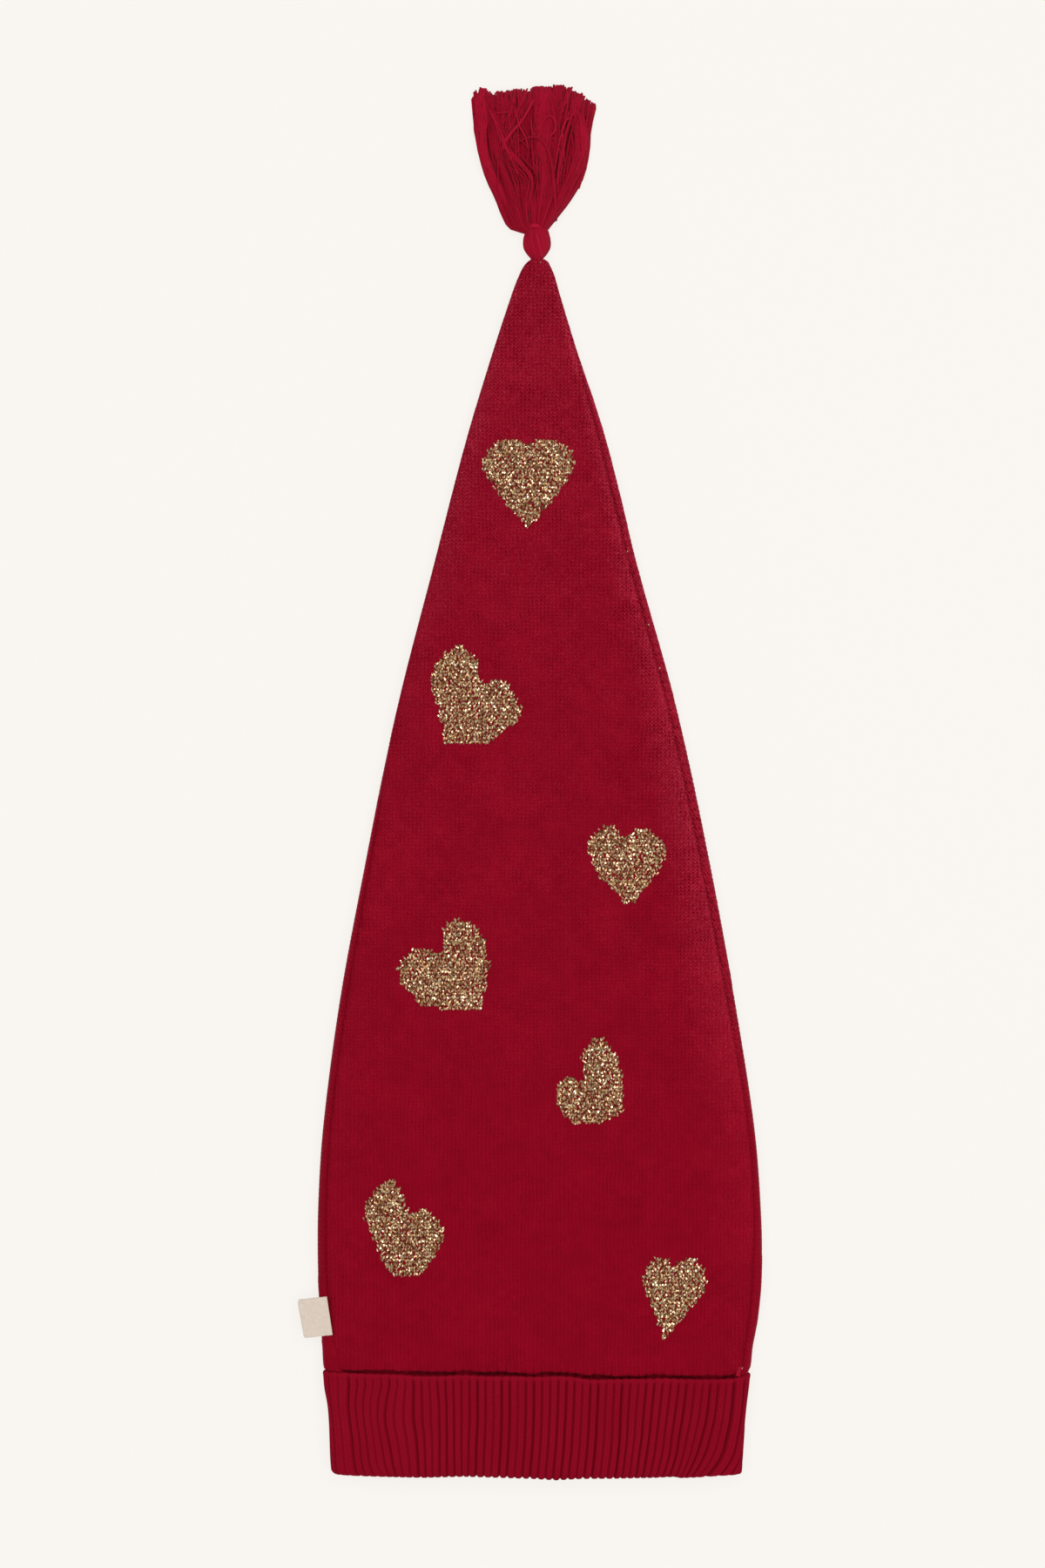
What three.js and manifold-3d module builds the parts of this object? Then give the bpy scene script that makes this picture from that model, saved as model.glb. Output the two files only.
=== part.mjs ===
import * as THREE from 'three';
import { mergeVertices } from 'three/addons/utils/BufferGeometryUtils.js';
import Module from 'manifold-3d';

// A long knitted hat with a turned-up ribbed cuff and a tassel, lying flat with its front up.
// Millimetres: +X is to the right seen from above, +Y runs from the mouth to the tip, +Z is up.

const wasm = await Module();
wasm.setup();

// Knitted walls, and the clearance between neighbouring pieces
const crownWall = 2.4;
const cuffWall = 2.7;
const pieceGap = 0.3;
const tipWallShare = 0.42;

// Flattened section: how square its domed top is, and how far the side fold reaches in along the underside
const domePower = 4;
const foldReach = 9.2;
const foldShare = 0.75;

// Crown panels: how the cloth rolls into the side seams, and the columns each panel is divided into
const seamRoll = 2.6;
const seamSink = 0.45;
const seamPuff = -0.12;
const rollLimit = 0.2;
const frontColumns = 18;
const stripMiddle = 0.7;
const sideTurns = [1, 1.35, 1.7, 2];
const hemTop = 74;
const longestSpan = 38;

// Turned-up cuff: a double wall with a slit between its legs
const cuffHeight = 50.8;
const cuffSlit = 0.5;
const innerLegHeight = 38.3;
const slitFloor = 5;
const foldRise = 4.5;
const foldTurnRise = 1;
const foldTurnInset = 1.2;
const lipRound = 1.3;
const lipHeight = 2.2;
const ribRunOut = 2.2;
const ribsPerSide = 48;
const ribDepth = 0.8;
const wallTaper = 0.05;
const lengthSamples = 600;

// Gold hearts: a raised layer of stitches on the front
const heartThickness = 0.8;
const heartNotch = 0.14;
const heartLobe = 0.54;
const heartSide = 0.42;
const heartCurveSteps = 4;
const heartTop = 60;

// Side label
const labelWidth = 14.4;
const labelHeight = 18.6;
const labelThickness = 1.2;
const labelUp = 77;
const labelLean = 0.12;
const labelDroop = 0.3;
const labelStations = 5;

// Tassel
const headRadius = 6.7;
const headFlatten = 0.88;
const headSides = 14;
const waistRadius = 3.4;
const tieRadius = 4.75;
const tieThread = 0.65;
const tieSides = 6;
const tieSteps = 18;
const lockCount = 12;
const lockSides = 7;
const lockWide = 0.68;
const lockHigh = 0.3;
const lockReach = 670.5;
const lockRagged = 1.4;
const raggedStep = 2.3;
const cutRound = 1.5;
const cutSlantRight = 6;
const lockTaper = 0.6;
const coreInset = 1.6;

// Cuff outline: half widths each side of the hat's axis, height of the dome, of the widest point and of the
// underside, and how far in from the outline the side seams lie
const cuffRows = [
  { up: 0, left: 98.6, right: 98.2, top: 19.6, side: 6.4, base: 0, seamLeft: 12, seamRight: 7.2 },
  { up: 20, left: 100.2, right: 99.8, top: 20.3, side: 6.4, base: 0, seamLeft: 12, seamRight: 7.2 },
  { up: 44, left: 102.9, right: 102.5, top: 20.4, side: 6.4, base: 0, seamLeft: 12, seamRight: 7.2 },
  { up: cuffHeight, left: 103.1, right: 102.7, top: 20.4, side: 6.4, base: 0, seamLeft: 12, seamRight: 7.2 },
];

// Crown outline above the cuff, in the same columns
const crownOutline = [
  { up: 55, left: 102.2, right: 102.2, top: 17.3, side: 6.4, base: 2.4, seamLeft: 11, seamRight: 6.6 },
  { up: 62, left: 103.3, right: 103.5, top: 17.9, side: 6.2, base: 0.8, seamLeft: 8.8, seamRight: 5 },
  { up: 74, left: 104.4, right: 105.6, top: 18.6, side: 6, base: 0, seamLeft: 7.4, seamRight: 4.6 },
  { up: 95, left: 105.6, right: 107.6, top: 19, side: 6, base: 0, seamLeft: 6, seamRight: 5.8 },
  { up: 130, left: 105.6, right: 107.2, top: 19, side: 6, base: 0, seamLeft: 4.4, seamRight: 4.6 },
  { up: 170, left: 102.9, right: 104, top: 18.6, side: 6, base: 0, seamLeft: 4, seamRight: 3.8 },
  { up: 230, left: 94.9, right: 94.5, top: 18, side: 6, base: 0, seamLeft: 4.2, seamRight: 3.4 },
  { up: 300, left: 81.9, right: 82.1, top: 17.4, side: 6, base: 0, seamLeft: 3.4, seamRight: 4.4 },
  { up: 370, left: 67.6, right: 67.2, top: 16.6, side: 5.8, base: 0, seamLeft: 3.4, seamRight: 5 },
  { up: 440, left: 49.8, right: 48.5, top: 15.6, side: 5.6, base: 0, seamLeft: 3.2, seamRight: 3 },
  { up: 500, left: 34.2, right: 33.6, top: 14.2, side: 5.4, base: 0, seamLeft: 3, seamRight: 2.6 },
  { up: 545, left: 20.6, right: 18.7, top: 12.4, side: 5.2, base: 0, seamLeft: 2.6, seamRight: 2.4 },
  { up: 572, left: 11.6, right: 10.3, top: 10.6, side: 5, base: 0, seamLeft: 2, seamRight: 2 },
  { up: 583, left: 5.9, right: 5.7, top: 9.8, side: 5.2, base: 1.2, seamLeft: 1.3, seamRight: 1.3 },
  { up: 587.6, left: 3.2, right: 3.6, top: 9.2, side: 5.7, base: 2.4, seamLeft: 0.9, seamRight: 0.9 },
];

// Soft gathers that rise from the cuff into the front: place at the cuff, slant, reach, depth and width
const gathers = [
  { x: -57, slant: -0.22, reach: 62, depth: 1.2, width: 9 },
  { x: -19.5, slant: -0.2, reach: 110, depth: 1.5, width: 10 },
  { x: 22.5, slant: -0.07, reach: 120, depth: 2, width: 11 },
  { x: 60, slant: 0.12, reach: 70, depth: 1, width: 10 },
];

// Hearts on the front: centre, width and height along their own axes, and lean to the right in degrees
const hearts = [
  { x: -4.4, up: 480.6, width: 43.6, height: 42.2, lean: 0 },
  { x: -32.3, up: 373.1, width: 45.2, height: 42.6, lean: 33 },
  { x: 44.1, up: 295.9, width: 37.4, height: 38, lean: -4 },
  { x: -41, up: 243.1, width: 44.8, height: 41.2, lean: -37 },
  { x: 26.5, up: 188.1, width: 38.8, height: 36.4, lean: -40 },
  { x: -65.7, up: 118.4, width: 39.4, height: 39.4, lean: 25 },
  { x: 65, up: 87.4, width: 31.2, height: 38.8, lean: 9.5 },
];

// Fringe outline from the waist to the cut ends
const fringeRows = [
  { up: 602.4, left: waistRadius, right: waistRadius, top: 8.9, side: 5.8, base: 2.7 },
  { up: 603.7, left: 3.6, right: 3.6, top: 9, side: 5.8, base: 2.6 },
  { up: 605.2, left: 13, right: 7, top: 11, side: 5, base: 1 },
  { up: 609, left: 17.6, right: 11, top: 12.2, side: 4.6, base: 0 },
  { up: 617, left: 20.8, right: 16.8, top: 12.6, side: 4.4, base: 0 },
  { up: 633, left: 26.6, right: 23.8, top: 11.4, side: 4, base: 0 },
  { up: 651, left: 29.6, right: 26.6, top: 9.4, side: 3.6, base: 0 },
  { up: 666, left: 31.4, right: 29.4, top: 7.4, side: 3.2, base: 0 },
];

// Head of the tassel: radius at each height
const headRows = [
  { up: 587.9, radius: 2.9 },
  { up: 588.7, radius: 3 },
  { up: 591, radius: 5.3 },
  { up: 595.2, radius: headRadius },
  { up: 599, radius: 6 },
  { up: 601.5, radius: 3.7 },
  { up: 602.1, radius: waistRadius },
];

// Materials
const redKnit = { color: 0x85081d, roughness: 0.95, metalness: 0 };
const redRib = { color: 0x7d091c, roughness: 0.95, metalness: 0 };
const redYarn = { color: 0x8f1426, roughness: 0.9, metalness: 0 };
const goldYarn = { color: 0xc9a765, roughness: 0.35, metalness: 0.8 };
const creamTape = { color: 0xd9c8ba, roughness: 0.85, metalness: 0 };

// Smooth values of every column at a height between the rows of a table
function rowAt(rows, up) {
  let low = rows.findLastIndex((row) => row.up <= up);
  low = Math.min(Math.max(low, 0), rows.length - 2);
  const before = rows[Math.max(low - 1, 0)];
  const start = rows[low];
  const end = rows[low + 1];
  const after = rows[Math.min(low + 2, rows.length - 1)];
  const span = end.up - start.up;
  const t = (up - start.up) / span;
  const result = {};
  for (const key of Object.keys(start)) {
    const startSlope = (end[key] - before[key]) / (end.up - before.up) * span;
    const endSlope = (after[key] - start[key]) / (after.up - start.up) * span;
    const swing = end[key] - start[key];
    const curve = 3 * swing - 2 * startSlope - endSlope;
    const twist = startSlope + endSlope - 2 * swing;
    result[key] = start[key] + startSlope * t + curve * t * t + twist * t * t * t;
  }
  result.up = up;
  return result;
}

// A point on the flattened section. turn runs from -1 to 1 over the domed top as a share of the half width,
// on to 2 or -2 round the side fold, and to 3 or -3 at the middle of the flat underside.
function sectionPoint(section, turn, inset) {
  const sign = turn < 0 ? -1 : 1;
  const amount = Math.abs(turn);
  const half = turn < 0 ? section.left : section.right;
  const fold = Math.max(Math.min(foldReach, foldShare * half) - inset, pieceGap);
  let x = half - inset;
  let z = section.side;
  if (amount <= 1) {
    x *= amount;
    z += (section.top - inset - section.side) * (1 - amount ** domePower) ** (1 / domePower);
  } else if (amount <= 2) {
    const angle = (amount - 1) * Math.PI / 2;
    x -= fold * (1 - Math.cos(angle));
    z -= (section.side - section.base - inset) * Math.sin(angle);
  } else {
    x = (x - fold) * (3 - amount);
    z = section.base + inset;
  }
  return new THREE.Vector3(sign * x, section.up, z);
}

// Closed body through rings with equal numbers of points. cap lists the end faces in the rings' own order.
function loft(rings, cap) {
  const count = rings[0].length;
  const last = (rings.length - 1) * count;
  const index = [];
  for (let r = 0; r < rings.length - 1; r++) {
    for (let k = 0; k < count; k++) {
      const a = r * count + k;
      const b = r * count + (k + 1) % count;
      index.push(a, b, b + count, a, b + count, a + count);
    }
  }
  for (const [a, b, c] of cap) {
    index.push(a, c, b);
    index.push(last + a, last + b, last + c);
  }
  const geometry = new THREE.BufferGeometry().setFromPoints(rings.flat());
  geometry.setIndex(index);
  return facingOut(geometry);
}

// Turns every face round where the body comes out inside out
function facingOut(geometry) {
  const place = geometry.attributes.position;
  const index = geometry.index.array;
  const corners = [new THREE.Vector3(), new THREE.Vector3(), new THREE.Vector3()];
  let volume = 0;
  for (let i = 0; i < index.length; i += 3) {
    corners.forEach((corner, k) => corner.fromBufferAttribute(place, index[i + k]));
    volume += corners[0].dot(corners[1].cross(corners[2]));
  }
  if (volume < 0) {
    geometry.setIndex([...index].reverse());
  }
  return geometry;
}

// End faces of a ring that runs out along one skin and back along the other
function stripCap(pointsPerSkin) {
  const back = 2 * pointsPerSkin - 1;
  const faces = [];
  for (let k = 0; k < pointsPerSkin - 1; k++) {
    faces.push([k, k + 1, back - 1 - k], [k, back - 1 - k, back - k]);
  }
  return faces;
}

function fanCap(count) {
  return Array.from({ length: count - 2 }, (_, k) => [0, k + 1, k + 2]);
}

function profileCap(outline) {
  const faces = THREE.ShapeUtils.triangulateShape(outline, []);
  return faces.map((face) => [...face].sort((a, b) => a - b));
}

function solidFrom(geometry) {
  const vertProperties = new Float32Array(geometry.attributes.position.array);
  const triVerts = new Uint32Array(geometry.index.array);
  return new wasm.Manifold(new wasm.Mesh({ numProp: 3, vertProperties, triVerts }));
}

function geometryFrom(solid) {
  const mesh = solid.getMesh();
  const geometry = new THREE.BufferGeometry();
  geometry.setAttribute('position', new THREE.BufferAttribute(mesh.vertProperties, 3));
  geometry.setIndex(new THREE.BufferAttribute(mesh.triVerts, 1));
  return geometry;
}

function piece(name, geometry, finish) {
  const mesh = new THREE.Mesh(geometry, new THREE.MeshStandardMaterial(finish));
  mesh.name = name;
  return mesh;
}

// Crown: its hem is tucked behind the cuff's outer leg and meets the top of the inner leg
function tuckedRow(up) {
  const inset = cuffWall + cuffSlit;
  const row = rowAt(cuffRows, Math.min(up, cuffHeight));
  row.up = up;
  row.left -= inset;
  row.right -= inset;
  row.top -= inset;
  row.base += inset;
  return row;
}

const crownRows = [
  tuckedRow(innerLegHeight + pieceGap),
  tuckedRow(cuffHeight + pieceGap),
  ...crownOutline,
];

const crownSections = crownRows.flatMap((row, k) => {
  const next = crownRows[k + 1];
  if (!next || next.up - row.up < longestSpan) {
    return [row];
  }
  return [row, rowAt(crownRows, (row.up + next.up) / 2)];
});

// The back lies flat above its hem, which climbs into the cuff
const backSections = crownSections.filter((section) => section.up >= hemTop);
const hemSections = [
  ...crownSections.filter((section) => section.up < hemTop),
  rowAt(crownRows, hemTop - pieceGap),
];

function seamTurns(section, gap) {
  const right = 1 - (section.seamRight + gap) / section.right;
  const left = 1 - (section.seamLeft + gap) / section.left;
  return { left, right };
}

// How far a gather sinks the front at a point
function gatherDepth(point, share) {
  const rise = Math.max(point.y - cuffHeight, 0);
  const edgeFade = 1 - share ** 4;
  return gathers.reduce((sum, gather) => {
    const away = (point.x - gather.x - gather.slant * rise) / gather.width;
    const fade = Math.max(1 - rise / gather.reach, 0);
    return sum + gather.depth * Math.exp(-away * away) * fade * edgeFade;
  }, 0);
}

// Front columns: one at each seam, one where the roll beside the seam is highest, the rest even
function frontTurns(section) {
  const seam = seamTurns(section, pieceGap / 2);
  const rollLeft = seam.left - Math.min(seamRoll / section.left, rollLimit);
  const rollRight = seam.right - Math.min(seamRoll / section.right, rollLimit);
  const turns = [-seam.left];
  for (let k = 0; k <= frontColumns; k++) {
    turns.push(THREE.MathUtils.lerp(-rollLeft, rollRight, k / frontColumns));
  }
  turns.push(seam.right);
  return turns;
}

function frontSkin(section, inset, wall) {
  const turns = frontTurns(section);
  return turns.map((turn, k) => {
    const atSeam = k === 0 || k === turns.length - 1;
    const atRoll = k === 1 || k === turns.length - 2;
    const sink = inset > 0 ? 0 : wall * (atSeam ? seamSink : atRoll ? seamPuff : 0);
    const point = sectionPoint(section, turn, inset + sink);
    point.z -= gatherDepth(point, Math.abs(turn));
    return point;
  });
}

// Edge of the back, folded round from the underside to the side seam on the front
function sideSkin(sign) {
  return (section, inset, wall) => {
    const seam = seamTurns(section, -pieceGap / 2);
    const edge = sign < 0 ? seam.left : seam.right;
    const turns = [edge, edge + (1 - edge) * stripMiddle, ...sideTurns];
    return turns.map((turn, k) => {
      const sink = inset > 0 || k > 0 ? 0 : wall * seamSink;
      return sectionPoint(section, sign * turn, inset + sink);
    });
  };
}

// Flat underside between the two side folds
function backSkin(section, inset) {
  const foldEdge = (half) => 2 + pieceGap / (half - Math.min(foldReach, foldShare * half));
  const right = foldEdge(section.right);
  const left = foldEdge(section.left);
  const turns = [right, (right + 3) / 2, 3, -(left + 3) / 2, -left];
  return turns.map((turn) => sectionPoint(section, turn, inset));
}

function crownPanel(skin, sections) {
  const rings = sections.map((section) => {
    const wall = Math.min(crownWall, tipWallShare * Math.min(section.left, section.right));
    const outside = skin(section, 0, wall);
    const inside = skin(section, wall, wall);
    return [...outside, ...inside.reverse()];
  });
  return loft(rings, stripCap(rings[0].length / 2));
}

// Cuff: one profile of the bent double wall, carried round between the side seams over ribs of equal width
const cuffThickness = 2 * cuffWall + cuffSlit;
const cuffMiddle = cuffThickness / 2;
const cuffProfile = [
  { inset: lipRound, up: cuffHeight, rib: 0 },
  { inset: 2 * wallTaper, up: cuffHeight - lipHeight, rib: 0 },
  { inset: 0, up: cuffHeight - lipHeight - ribRunOut, rib: 1 },
  { inset: wallTaper, up: foldRise, rib: 1 },
  { inset: foldTurnInset, up: foldTurnRise, rib: 0.8 },
  { inset: cuffMiddle, up: 0, rib: 0.4 },
  { inset: cuffThickness - foldTurnInset, up: foldTurnRise, rib: 0 },
  { inset: cuffThickness, up: foldRise, rib: 0 },
  { inset: cuffThickness - wallTaper, up: innerLegHeight, rib: 0 },
  { inset: cuffWall + cuffSlit, up: innerLegHeight, rib: 0 },
  { inset: cuffMiddle, up: slitFloor, rib: 0 },
  { inset: cuffWall, up: cuffHeight - lipRound, rib: 0 },
];

// Turns that divide the way round the section, from one turn to another, into equal lengths
function evenTurns(section, from, to, steps) {
  const wrapped = (q) => (q <= 3 ? q : q - 6);
  const at = (k) => wrapped(from + (to - from) * k / lengthSamples);
  const lengths = [0];
  for (let k = 1; k <= lengthSamples; k++) {
    const stride = sectionPoint(section, at(k), 0).distanceTo(sectionPoint(section, at(k - 1), 0));
    lengths.push(lengths[k - 1] + stride);
  }
  return Array.from({ length: steps + 1 }, (_, step) => {
    const goal = lengths[lengthSamples] * step / steps;
    const k = lengths.findIndex((length) => length >= goal);
    return at(k);
  });
}

function cuffPanel(from, to) {
  const turns = evenTurns(rowAt(cuffRows, cuffHeight / 2), from, to, 2 * ribsPerSide);
  const rings = turns.map((turn, k) => cuffProfile.map((row) => {
    const groove = k % 2 === 0 ? ribDepth : 0;
    const section = rowAt(cuffRows, row.up);
    return sectionPoint(section, turn, row.inset + row.rib * groove);
  }));
  const outline = cuffProfile.map((row) => new THREE.Vector2(row.inset, row.up));
  return loft(rings, profileCap(outline));
}

const cuffSeam = seamTurns(rowAt(cuffRows, cuffHeight / 2), 0);
const cuffSeamGap = 2 * pieceGap / (cuffRows[0].left + cuffRows[0].right);

// Hearts: a raised layer over the front, cut to each heart's outline
function heartShape(width, height) {
  const side = width / 2;
  const crest = height / 2;
  const notch = crest - heartNotch * height;
  const shape = new THREE.Shape();
  const lobe = heartLobe * side;
  const widest = heartSide * crest;
  shape.moveTo(0, notch);
  shape.bezierCurveTo(0.14 * side, crest, lobe / 2, crest, lobe, crest);
  shape.bezierCurveTo(0.84 * side, crest, side, 0.74 * crest, side, widest);
  shape.bezierCurveTo(side, -0.14 * crest, 0.36 * side, -0.5 * crest, 0, -crest);
  shape.bezierCurveTo(-0.36 * side, -0.5 * crest, -side, -0.14 * crest, -side, widest);
  shape.bezierCurveTo(-side, 0.74 * crest, -0.84 * side, crest, -lobe, crest);
  shape.bezierCurveTo(-lobe / 2, crest, -0.14 * side, crest, 0, notch);
  return shape;
}

function heartLayer() {
  const rings = crownSections.slice(2, -3).map((section) => {
    const outside = frontSkin(section, -pieceGap - heartThickness, 0);
    const inside = frontSkin(section, -pieceGap, 0);
    return [...outside, ...inside.reverse()];
  });
  return solidFrom(loft(rings, stripCap(rings[0].length / 2)));
}

function heartPiece(layer, row, number) {
  const shape = heartShape(row.width, row.height);
  const options = { depth: heartTop, bevelEnabled: false, curveSegments: heartCurveSteps };
  const prism = new THREE.ExtrudeGeometry(shape, options);
  prism.deleteAttribute('normal');
  prism.deleteAttribute('uv');
  prism.rotateZ(-THREE.MathUtils.degToRad(row.lean));
  prism.translate(row.x, row.up, 0);
  const heart = layer.intersect(solidFrom(mergeVertices(prism)));
  return piece(`heart_${number}`, geometryFrom(heart), goldYarn);
}

// Label: a folded tab whose inner edge is caught in the left seam
function labelPiece() {
  const section = rowAt(crownRows, labelUp);
  const seam = sectionPoint(section, -seamTurns(section, 0).left, 0);
  const halfHeight = labelHeight / 2;
  const rings = Array.from({ length: labelStations }, (_, k) => {
    const out = labelWidth * k / (labelStations - 1);
    const z = -labelDroop * out;
    return [
      new THREE.Vector3(-out, -halfHeight, z),
      new THREE.Vector3(-out, halfHeight, z),
      new THREE.Vector3(-out, halfHeight, z + labelThickness),
      new THREE.Vector3(-out, -halfHeight, z + labelThickness),
    ];
  });
  const label = piece('label', loft(rings, fanCap(rings[0].length)), creamTape);
  label.position.set(seam.x, labelUp, seam.z + pieceGap);
  label.rotation.z = labelLean;
  return label;
}

// Tassel
function tasselHead() {
  const profile = headRows.map((row) => new THREE.Vector2(row.radius, row.up));
  profile.unshift(new THREE.Vector2(0, headRows[0].up));
  profile.push(new THREE.Vector2(0, headRows.at(-1).up));
  const geometry = new THREE.LatheGeometry(profile, headSides);
  geometry.deleteAttribute('normal');
  geometry.deleteAttribute('uv');
  return piece('tassel_head', facingOut(mergeVertices(geometry)), redYarn);
}

function tasselTie() {
  const geometry = new THREE.TorusGeometry(tieRadius, tieThread, tieSides, tieSteps);
  geometry.deleteAttribute('normal');
  geometry.deleteAttribute('uv');
  geometry.rotateX(Math.PI / 2);
  geometry.translate(0, (headRows.at(-1).up + fringeRows[0].up) / 2, 0);
  return piece('tassel_tie', facingOut(mergeVertices(geometry)), redYarn);
}

// Core of the fringe, a little inside its outline
function fringeCore() {
  const turns = [0, 0.5, 0.85, 1, 1.5, 2, 3, -2, -1.5, -1, -0.85, -0.5];
  const rings = fringeRows.map((row, k) => {
    const inset = k < 2 ? 0 : coreInset;
    const section = { ...row, base: row.base - inset };
    return turns.map((turn) => sectionPoint(section, turn, inset));
  });
  return solidFrom(loft(rings, fanCap(turns.length)));
}

// One lock of strands, fanning out from the waist to its cut end
function fringeLock(number) {
  const share = 2 * (number + 0.5) / lockCount - 1;
  const cut = cutSlantRight * Math.max(share, 0) ** 2 + cutRound * share ** 2;
  const end = lockReach - cut + lockRagged * Math.sin(raggedStep * number);
  const rows = [...fringeRows.slice(2, -1), { ...fringeRows.at(-1), up: end }];
  const rings = rows.map((row, k) => {
    const wide = (row.left + row.right) / lockCount * lockWide;
    const taper = k === rows.length - 1 ? lockTaper : 1;
    const high = lockHigh * row.top * taper;
    const half = share < 0 ? row.left : row.right;
    const x = share * half;
    const crest = row.side + (row.top - row.side) * (1 - Math.abs(share) ** domePower) ** (1 / domePower);
    const z = Math.max(crest - high, row.base + high + pieceGap);
    return Array.from({ length: lockSides }, (_, side) => {
      const angle = 2 * Math.PI * side / lockSides;
      return new THREE.Vector3(x + wide * taper * Math.cos(angle), row.up, z + high * Math.sin(angle));
    });
  });
  return solidFrom(loft(rings, fanCap(lockSides)));
}

function tasselFringe() {
  let fringe = fringeCore();
  for (let k = 0; k < lockCount; k++) {
    fringe = fringe.add(fringeLock(k));
  }
  return piece('tassel_fringe', geometryFrom(fringe), redYarn);
}

const hat = new THREE.Group();
hat.add(piece('crown_front', crownPanel(frontSkin, crownSections), redKnit));
hat.add(piece('crown_back', crownPanel(backSkin, backSections), redKnit));
hat.add(piece('crown_hem', crownPanel(backSkin, hemSections), redKnit));
hat.add(piece('crown_side_left', crownPanel(sideSkin(-1), crownSections), redKnit));
hat.add(piece('crown_side_right', crownPanel(sideSkin(1), crownSections), redKnit));
hat.add(piece('cuff_front', cuffPanel(-cuffSeam.left + cuffSeamGap, cuffSeam.right - cuffSeamGap), redRib));
hat.add(piece('cuff_back', cuffPanel(cuffSeam.right + cuffSeamGap, 6 - cuffSeam.left - cuffSeamGap), redRib));

const layer = heartLayer();
hearts.forEach((row, k) => hat.add(heartPiece(layer, row, k + 1)));
hat.add(labelPiece());

const roundParts = new THREE.Group();
roundParts.add(tasselHead(), tasselTie());
roundParts.scale.z = headFlatten;
roundParts.position.z = headRadius * headFlatten;
hat.add(roundParts);
hat.add(tasselFringe());

// The origin is under the middle of the hat, on the surface that it lies on
hat.updateMatrixWorld(true);
const box = new THREE.Box3().setFromObject(hat, true);
const centre = box.getCenter(new THREE.Vector3());
hat.position.set(-centre.x, -centre.y, -box.min.z);

export default hat;
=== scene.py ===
import math
import bpy
import numpy as np
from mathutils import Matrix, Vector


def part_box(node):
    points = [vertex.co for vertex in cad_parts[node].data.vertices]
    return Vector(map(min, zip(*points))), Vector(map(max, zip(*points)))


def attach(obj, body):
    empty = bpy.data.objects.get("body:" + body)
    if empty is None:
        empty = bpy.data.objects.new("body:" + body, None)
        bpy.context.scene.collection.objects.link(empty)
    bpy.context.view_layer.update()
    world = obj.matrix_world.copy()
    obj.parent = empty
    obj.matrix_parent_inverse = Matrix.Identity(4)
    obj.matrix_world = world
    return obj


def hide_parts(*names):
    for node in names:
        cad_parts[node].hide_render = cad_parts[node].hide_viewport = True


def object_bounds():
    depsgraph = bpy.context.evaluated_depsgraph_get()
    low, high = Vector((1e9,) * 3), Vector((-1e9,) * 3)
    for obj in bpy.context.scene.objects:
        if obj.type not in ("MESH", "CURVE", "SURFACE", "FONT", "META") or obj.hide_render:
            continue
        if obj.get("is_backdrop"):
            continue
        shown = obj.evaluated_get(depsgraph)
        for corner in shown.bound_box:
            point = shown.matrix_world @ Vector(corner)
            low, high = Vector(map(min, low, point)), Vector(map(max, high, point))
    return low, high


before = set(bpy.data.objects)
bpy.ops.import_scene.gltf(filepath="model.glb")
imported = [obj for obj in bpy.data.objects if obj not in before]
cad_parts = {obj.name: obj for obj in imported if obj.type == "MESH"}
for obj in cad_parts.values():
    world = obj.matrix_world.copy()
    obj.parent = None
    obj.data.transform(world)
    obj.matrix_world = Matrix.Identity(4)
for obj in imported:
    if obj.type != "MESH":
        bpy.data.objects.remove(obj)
cadBox = [list(corner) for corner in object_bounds()]
scene = bpy.context.scene
scene.view_settings.view_transform = "Standard"
dice = np.random.default_rng(24)

# Shapes are in mm from the hat's axis and the edge of its mouth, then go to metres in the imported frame
headLow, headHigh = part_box("tassel_head")
hatOrigin = np.array([(headLow.x + headHigh.x) / 2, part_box("cuff_front")[0].y, 0.0])


def toFrame(points):
    return np.asarray(points, float) * 0.001 + hatOrigin


# Camera straight above, as the photo was taken, and a broad soft light over the table
studio = {
    "photoTall": 756.0, "centreX": -6.9, "centreUp": 334.3, "focusHeight": 8.0,
    "lens": 85.0, "sensor": 36.0, "clipEnd": 50.0,
    "floorReach": 10.0, "floorSweep": 3.2, "floorSides": 24, "sweepSteps": 4, "floorDrop": 0.0002,
    "floorColour": "#636160", "floorGlow": "#f9f6f1", "floorGlowStrength": 0.862,
    "skyColour": "#ffffff", "skyStrength": 0.27,
    "lampSize": 2.6, "lampHeight": 2.6, "lampOffset": (0.12, 0.1), "lampEnergy": 68.0,
}


def linear(code):
    parts = [int(code[k:k + 2], 16) / 255 for k in (1, 3, 5)]
    return [c / 12.92 if c <= 0.04045 else ((c + 0.055) / 1.055) ** 2.4 for c in parts] + [1.0]


# A node with its settings, input values and links: a value that is a node or an output is linked
def addNode(tree, kind, settings):
    node = tree.nodes.new("ShaderNode" + kind)
    for key, value in settings.items():
        if isinstance(value, bpy.types.Node):
            value = value.outputs[2 if getattr(value, "data_type", "") == "RGBA" else 0]
        if isinstance(value, bpy.types.NodeSocket):
            tree.links.new(value, node.inputs[key])
        elif isinstance(key, int) or key in node.inputs:
            node.inputs[key].default_value = value
        else:
            setattr(node, key, value)
    return node


# An empty material, its node tree and the coordinates of the piece it is on
def newMaterial(name):
    material = bpy.data.materials.new(name)
    material.use_nodes = True
    tree = material.node_tree
    tree.nodes.clear()
    return material, tree, addNode(tree, "TexCoord", {}).outputs["Object"]


# Bump, shader and output, which end every material
def finishMaterial(tree, height, strength, distance, settings):
    bump = addNode(tree, "Bump", {"Strength": strength, "Distance": distance, "Height": height})
    shader = addNode(tree, "BsdfPrincipled", {"Normal": bump, **settings})
    addNode(tree, "OutputMaterial", {0: shader})


def addToScene(name, data):
    thing = bpy.data.objects.new(name, data)
    scene.collection.objects.link(thing)
    return thing


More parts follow.
